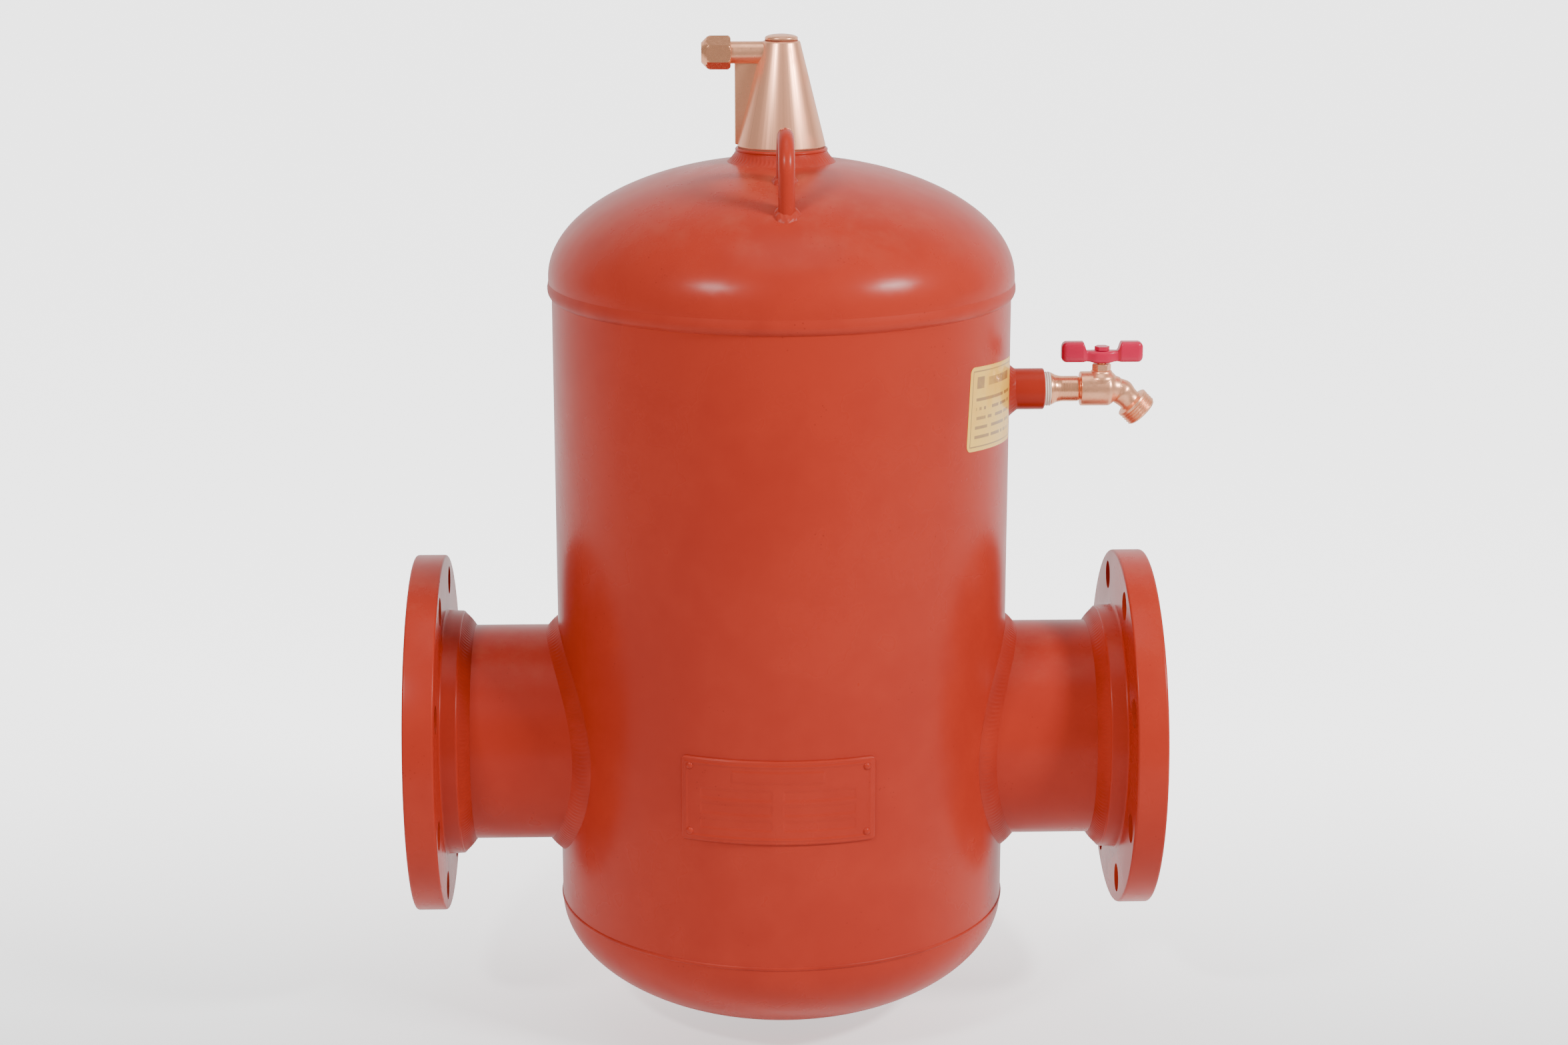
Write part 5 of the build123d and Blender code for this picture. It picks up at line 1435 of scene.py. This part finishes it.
# ------------------------------------------------------------------ plate and label
@dataclass
class ShellSheet:
    """A sheet that lies on the shell: its width runs round the arc and its height runs up."""

    vessel: Vessel
    arc_width: float
    height: float
    corner: float
    centre_turn: float
    centre_z: float
    tilt: float = 0.0

    def outline_grid(self, columns: int, rows: int) -> tuple[np.ndarray, np.ndarray]:
        """Places on the flat sheet, squeezed so that its outline has round corners.

        A row's half width is the full half width less the corner's inset, c - sqrt(c^2 - d^2), where d is how
        far the row lies past the start of the corner.

        Args:
            columns: points across.
            rows: points up.

        Returns:
            Distances across and up from the sheet's centre, each (columns, rows).
        """
        half_w, half_h = self.arc_width / 2, self.height / 2
        up = half_h * np.sin(np.linspace(-1, 1, rows) * math.pi / 2)
        past = np.clip(np.abs(up) - (half_h - self.corner), 0, self.corner)
        inset = self.corner - np.sqrt(np.clip(self.corner ** 2 - past ** 2, 0, None))
        share = np.linspace(-1, 1, columns)
        across = share[:, None] * (half_w - inset)[None]
        return across, np.broadcast_to(up[None], across.shape)

    def on_shell(self, across: np.ndarray, up: np.ndarray, lift: np.ndarray | float) -> np.ndarray:
        """Wraps flat places round the shell, lifted off it.

        Args:
            across: distance round the arc from the sheet's centre.
            up: distance up from the sheet's centre.
            lift: distance off the shell.

        Returns:
            Points in the row frame.
        """
        lean = math.radians(self.tilt)
        round_arc = across * math.cos(lean) - up * math.sin(lean)
        height = across * math.sin(lean) + up * math.cos(lean)
        turn = math.radians(self.centre_turn) + round_arc / self.vessel.shell_r
        radius = self.vessel.shell_r + lift
        return np.stack([self.vessel.axis_x + radius * np.sin(turn), -radius * np.cos(turn),
                         np.broadcast_to(self.centre_z + height, turn.shape)], axis=-1)

    def slab(self, name: str, lift: np.ndarray, across: np.ndarray, up: np.ndarray, back: float,
             finish: Finish, sharp: float) -> bpy.types.Object:
        """Closes a lifted front sheet with its back and its four edges, and maps it.

        Args:
            name: the piece's name.
            lift: front's distance off the shell at each grid point.
            across: distances across.
            up: distances up.
            back: distance of the back off the shell.
            finish: the finish.
            sharp: angle of hard edges in degrees.

        Returns:
            The new object with a UV map of its front.
        """
        front = self.on_shell(across, up, lift)
        rear = self.on_shell(across, up, back)
        work = Surface(name).grid(front, wrap_u=False).grid(rear[::-1], wrap_u=False)
        for edge, other in ((front[0], rear[0]), (front[-1], rear[-1]), (front[:, 0], rear[:, 0]),
                            (front[:, -1], rear[:, -1])):
            work.grid(np.stack([edge, other], axis=1), wrap_u=False)
        piece = work.make([finish], sharp)
        self.map_sheet(piece)
        return piece

    def map_sheet(self, piece: bpy.types.Object) -> None:
        """UV map from the shell's arc: u across and v up, both 0 to 1 over the sheet."""
        mesh = piece.data
        points = np.empty(len(mesh.vertices) * 3)
        mesh.vertices.foreach_get("co", points)
        points = points.reshape(-1, 3)
        turn = np.arctan2(points[:, 0] - self.vessel.axis_x, -points[:, 1]) - math.radians(self.centre_turn)
        lean = math.radians(self.tilt)
        arc = turn * self.vessel.shell_r
        rise = points[:, 2] - self.centre_z
        across = arc * math.cos(lean) + rise * math.sin(lean)
        up = rise * math.cos(lean) - arc * math.sin(lean)
        corners = np.empty(len(mesh.loops), np.int32)
        mesh.loops.foreach_get("vertex_index", corners)
        flat = np.stack([across / self.arc_width + 0.5, up / self.height + 0.5], axis=1)[corners]
        layer = mesh.uv_layers.new(name="sheet")
        layer.data.foreach_set("uv", flat.ravel())


@dataclass
class NamePlate(ShellSheet):
    """Blank rating plate painted over with the vessel: raised frame, shallow empty fields, four tacks."""

    thickness: float = 0.0022

    def build(self) -> bpy.types.Object:
        """Plate whose lift off the shell carries its frame and fields."""
        across, up = self.outline_grid(181, 81)
        half_w, half_h = self.arc_width / 2, self.height / 2
        inset_x, inset_y = half_w - np.abs(across), half_h - np.abs(up)
        edge = np.minimum(inset_x, inset_y)
        frame_line = 0.00035 * smooth_step(0.0030, 0.0036, edge) * smooth_step(0.0052, 0.0046, edge)
        lift = self.thickness - 0.0008 * smooth_step(0.0012, 0.0, edge) - 0.00035 + frame_line
        for row in (-0.0175, -0.0060, 0.0055):
            for left, right in ((-0.058, -0.004), (0.004, 0.058)):
                in_x = np.minimum(across - left, right - across)
                in_y = 0.0040 - np.abs(up - row)
                lift = lift - 0.0003 * smooth_step(0.0, 0.0006, np.minimum(in_x, in_y))
        head = np.minimum(0.034 - np.abs(across), 0.0048 - np.abs(up - 0.0195))
        lift = lift + 0.0003 * smooth_step(0.0, 0.0006, head)
        piece = self.slab("rating_plate", lift, across, up, -0.0003, VESSEL_PAINT, 50)
        return finish_piece(piece, VESSEL, "vessel_paint", "name_plate")

    def tacks(self) -> bpy.types.Object:
        """Small domed tacks near the plate's corners: height = h * sqrt(1 - r^2)."""
        work = Surface("plate_tacks")
        ring = np.linspace(0.02, 1.0, 8)
        turn = angles(28)[:, None]
        for side in (-1, 1):
            for level in (-1, 1):
                across = side * (self.arc_width / 2 - 0.007) + 0.0029 * ring[None] * np.cos(turn)
                up = level * (self.height / 2 - 0.007) + 0.0029 * ring[None] * np.sin(turn)
                lift = self.thickness - 0.0008 + 0.0020 * np.sqrt(1 - ring[None] ** 2 * 0.98) + 0 * turn
                base = self.on_shell(across[:, -1:], up[:, -1:], 0.0008)
                work.grid(np.concatenate([self.on_shell(across, up, lift), base], axis=1), caps=True)
        return finish_piece(work.make([VESSEL_PAINT], 60), VESSEL, "vessel_paint", "name_plate_tacks")


@dataclass
class Sticker(ShellSheet):
    """Thin printed film stuck to the shell."""

    def build(self) -> bpy.types.Object:
        """Film a quarter of a millimetre thick, its edges pressed down."""
        across, up = self.outline_grid(97, 65)
        edge = np.minimum(self.arc_width / 2 - np.abs(across), self.height / 2 - np.abs(up))
        lift = 0.00026 - 0.00012 * smooth_step(0.0008, 0.0, edge)
        piece = self.slab("printed_label", lift, across, up, -0.0002, LABEL_FILM, 60)
        return finish_piece(piece, VESSEL, "label_film", "label")


# ------------------------------------------------------------------ bundle
@dataclass
class Bundle:
    """Wire windings on the core tubes, seen through the open flanges."""

    vessel: Vessel
    inner_r: float = 0.0112
    outer_r: float = 0.0293
    wire_r: float = 0.00045
    petals: float = 17.37
    turns: int = 19

    def places(self) -> np.ndarray:
        """Centres of the core tubes, which stand on a triangular grid."""
        low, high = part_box("core_tubes")
        pitch = (high.x - low.x - 2 * 0.011) / 4
        ring = np.arange(6) * math.pi / 3
        near = pitch * np.stack([np.cos(ring), np.sin(ring)], axis=1)
        far = 2 * near
        halfway = ring + math.pi / 6
        between = math.sqrt(3) * pitch * np.stack([np.cos(halfway), np.sin(halfway)], axis=1)
        return np.concatenate([[(0.0, 0.0)], near, far, between])

    def winding(self, centre: np.ndarray, low: float, high: float, phase: float) -> np.ndarray:
        """One wire wound round a tube in radial loops.

        The angle grows steadily, the height grows with it, and the radius swings between the core and the
        outside as a cosine of the petal number, so that each turn is a wreath of loops.

        Args:
            centre: tube's centre in plan.
            low: bottom of the winding.
            high: top of the winding.
            phase: start angle.

        Returns:
            Grid of a three-sided wire.
        """
        count = int(self.turns * self.petals * 7)
        share = np.linspace(0.0, 1.0, count)
        turn = TURN * self.turns * share + phase
        swing = 0.5 - 0.5 * np.cos(turn * self.petals)
        radius = self.inner_r + (self.outer_r - self.inner_r) * swing
        lean = 0.10 * np.sin(turn * self.petals)
        height = low + (high - low) * share + 0.0024 * np.sin(turn * self.petals * 0.5)
        path = np.stack([self.vessel.axis_x + centre[0] + radius * np.cos(turn + lean),
                         centre[1] + radius * np.sin(turn + lean), np.clip(height, low, high)], axis=1)
        return tube_round(path, self.wire_r, 3)

    def build(self) -> None:
        """Three groups of windings, so that no piece grows too heavy."""
        low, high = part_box("wire_media")
        places = self.places()
        groups = (("windings_centre", places[:7]), ("windings_ends", places[7:13]),
                  ("windings_sides", places[13:]))
        for name, centres in groups:
            work = Surface(name)
            for index, centre in enumerate(centres):
                work.grid(self.winding(centre, low.z + 0.001, high.z - 0.001, 1.7 * index), caps=True)
            piece = work.make([COPPER], 80, weld=1e-9)
            finish_piece(piece, VESSEL, "copper_wire", *(["wire_media"] if name == "windings_centre" else []))


# ------------------------------------------------------------------ carried-over CAD nodes
CAD_FINISHES: dict[str, Finish] = {
    "shell": VESSEL_PAINT, "top_head": VESSEL_PAINT, "bottom_head": VESSEL_PAINT,
    "lower_girth_weld": WELD_PAINT, "inlet_nozzle": BORED_PAINT, "outlet_nozzle": BORED_PAINT,
    "vent_base_gasket": FIBRE, "vent_cap_gasket": FIBRE, "vent_seat": TURNED_BRASS_Z, "lever_pin": BARE_STEEL,
    "vent_lever": BARE_STEEL, "lever_seal": RUBBER, "vent_float": FLOAT_PLASTIC, "float_rod": BARE_STEEL,
    "front_lifting_lug": VESSEL_PAINT, "rear_lifting_lug": VESSEL_PAINT, "skim_coupling": VESSEL_PAINT,
    "valve_ball": BARE_STEEL, "ball_seats": TAPE, "stem_packing": TAPE, "valve_stem": TURNED_BRASS_Z,
    "handle_nut": HANDLE_ENAMEL, "core_tubes": COPPER, "bundle_bottom_plate": BARE_STEEL,
    "bundle_top_plate": BARE_STEEL, "tie_rods": BARE_STEEL, "tie_rod_nuts": BARE_STEEL,
    "bundle_supports": BARE_STEEL,
}


def dress_cad_nodes() -> None:
    """Gives every CAD node that stays in view its finish."""
    for name, finish in CAD_FINISHES.items():
        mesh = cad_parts[name].data
        mesh.materials.clear()
        mesh.materials.append(finish.material())
        LOG.info("%s keeps its CAD shape in %s", name, finish.name)


# ------------------------------------------------------------------ studio
@dataclass
class Studio:
    """Camera, pale sweep, soft lamps."""

    vessel: Vessel
    camera_place: tuple[float, float, float] = (-0.06794, -2.22619, 0.74205)
    pitch: float = 14.444
    yaw: float = 1.799
    lens: float = 67.80
    glow: float = 2.6
    spill: float = 0.7
    surround: float = 0.36

    def camera(self) -> None:
        """Camera level across, looking slightly down at the vessel."""
        data = bpy.data.cameras.new("camera")
        data.lens = self.lens
        data.sensor_width = 36.0
        lens = bpy.data.objects.new("camera", data)
        x, y, z = self.camera_place
        lens.location = (x + self.vessel.axis_x, y, z)
        lens.rotation_euler = (math.radians(90 - self.pitch), 0.0, -math.radians(self.yaw))
        bpy.context.scene.collection.objects.link(lens)
        bpy.context.scene.camera = lens

    def floor(self) -> None:
        """Sweep: a flat floor that curves up into a wall behind, as a quarter of a circle in the bend."""
        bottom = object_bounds()[0][2]
        bend = 1.4
        turn = np.linspace(0.0, math.pi / 2, 24)
        back = 2.6
        depth = np.concatenate([[-1.6], back + bend * np.sin(turn), [back + bend]])
        height = np.concatenate([[0.0], bend - bend * np.cos(turn), [7.0]])
        width = np.linspace(-9.0, 9.0, 3)
        grid = np.stack([np.broadcast_to(width[:, None] + self.vessel.axis_x, (3, 26)),
                         np.broadcast_to(depth, (3, 26)), np.broadcast_to(height + bottom, (3, 26))], axis=-1)
        mesh = bpy.data.meshes.new("sweep")
        index = np.arange(78).reshape(3, 26)
        quads = np.stack([index[:-1, :-1], index[1:, :-1], index[1:, 1:], index[:-1, 1:]], axis=-1)
        mesh.from_pydata(grid.reshape(-1, 3).tolist(), [], quads.reshape(-1, 4).tolist())
        sweep = bpy.data.objects.new("sweep", mesh)
        bpy.context.scene.collection.objects.link(sweep)
        mesh.materials.append(PaperFinish("paper_sweep", self.glow, self.spill).material())
        shade(sweep)
        sweep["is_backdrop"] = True

    def lamp(self, name: str, turn: float, lift: float, distance: float, size: tuple[float, float],
             power: float) -> None:
        """Soft rectangular lamp aimed at the vessel.

        Args:
            name: lamp's name.
            turn: degrees round from the front, positive towards the outlet.
            lift: degrees above the level.
            distance: distance from the vessel's middle.
            size: width and height.
            power: watts.
        """
        data = bpy.data.lights.new(name, "AREA")
        data.shape = "RECTANGLE"
        data.size, data.size_y = size
        data.energy = power
        lamp = bpy.data.objects.new(name, data)
        east, north = math.sin(math.radians(turn)), -math.cos(math.radians(turn))
        level = math.cos(math.radians(lift))
        middle = np.array([self.vessel.axis_x, 0.0, 0.15])
        heading = np.array([east * level, north * level, math.sin(math.radians(lift))])
        lamp.location = middle + distance * heading
        lamp.rotation_euler = (math.radians(90 - lift), 0.0, math.radians(turn))
        bpy.context.scene.collection.objects.link(lamp)

    def light(self) -> None:
        """Two soft boxes in front, a broad one overhead and an even pale surround."""
        self.lamp("left_box", -37.0, 37.0, 2.6, (0.46, 0.20), 32.0)
        self.lamp("right_box", 57.0, 32.0, 2.6, (0.52, 0.24), 62.0)
        self.lamp("overhead", 10.0, 80.0, 3.0, (1.6, 1.6), 16.0)
        world = bpy.data.worlds.new("surround")
        world.use_nodes = True
        ground = world.node_tree.nodes["Background"]
        ground.inputs[0].default_value = (1.0, 0.99, 0.98, 1.0)
        ground.inputs[1].default_value = self.surround
        bpy.context.scene.world = world


def main() -> None:
    """Builds every piece, dresses the CAD nodes and sets the studio."""
    logging.basicConfig(level=logging.INFO, format="%(name)s %(message)s")
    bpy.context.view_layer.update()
    vessel = Vessel.read()
    studio = Studio(vessel)
    studio.camera()
    dress_cad_nodes()
    welds = Welds(vessel)
    for bead in (welds.girth, welds.nozzles, welds.coupling, welds.flanges, welds.boss, welds.lug_feet):
        bead()
    for side in (0, 1):
        Flange(vessel, side).build()
    vent = Vent(vessel)
    for part in (vent.boss, vent.casting, vent.outlet, vent.cap):
        part()
    valve = SkimValve(vessel)
    for part in (valve.tape, valve.neck, valve.body, valve.nut, valve.handle):
        part()
    plate = NamePlate(vessel, 0.1470, 0.0650, 0.0040, -2.6, 0.0)
    plate.build()
    plate.tacks()
    Sticker(vessel, 0.0915, 0.0632, 0.0050, 65.0, 0.2775, -4.3).build()
    Bundle(vessel).build()
    studio.floor()
    studio.light()


if __name__ == "__main__":
    main()
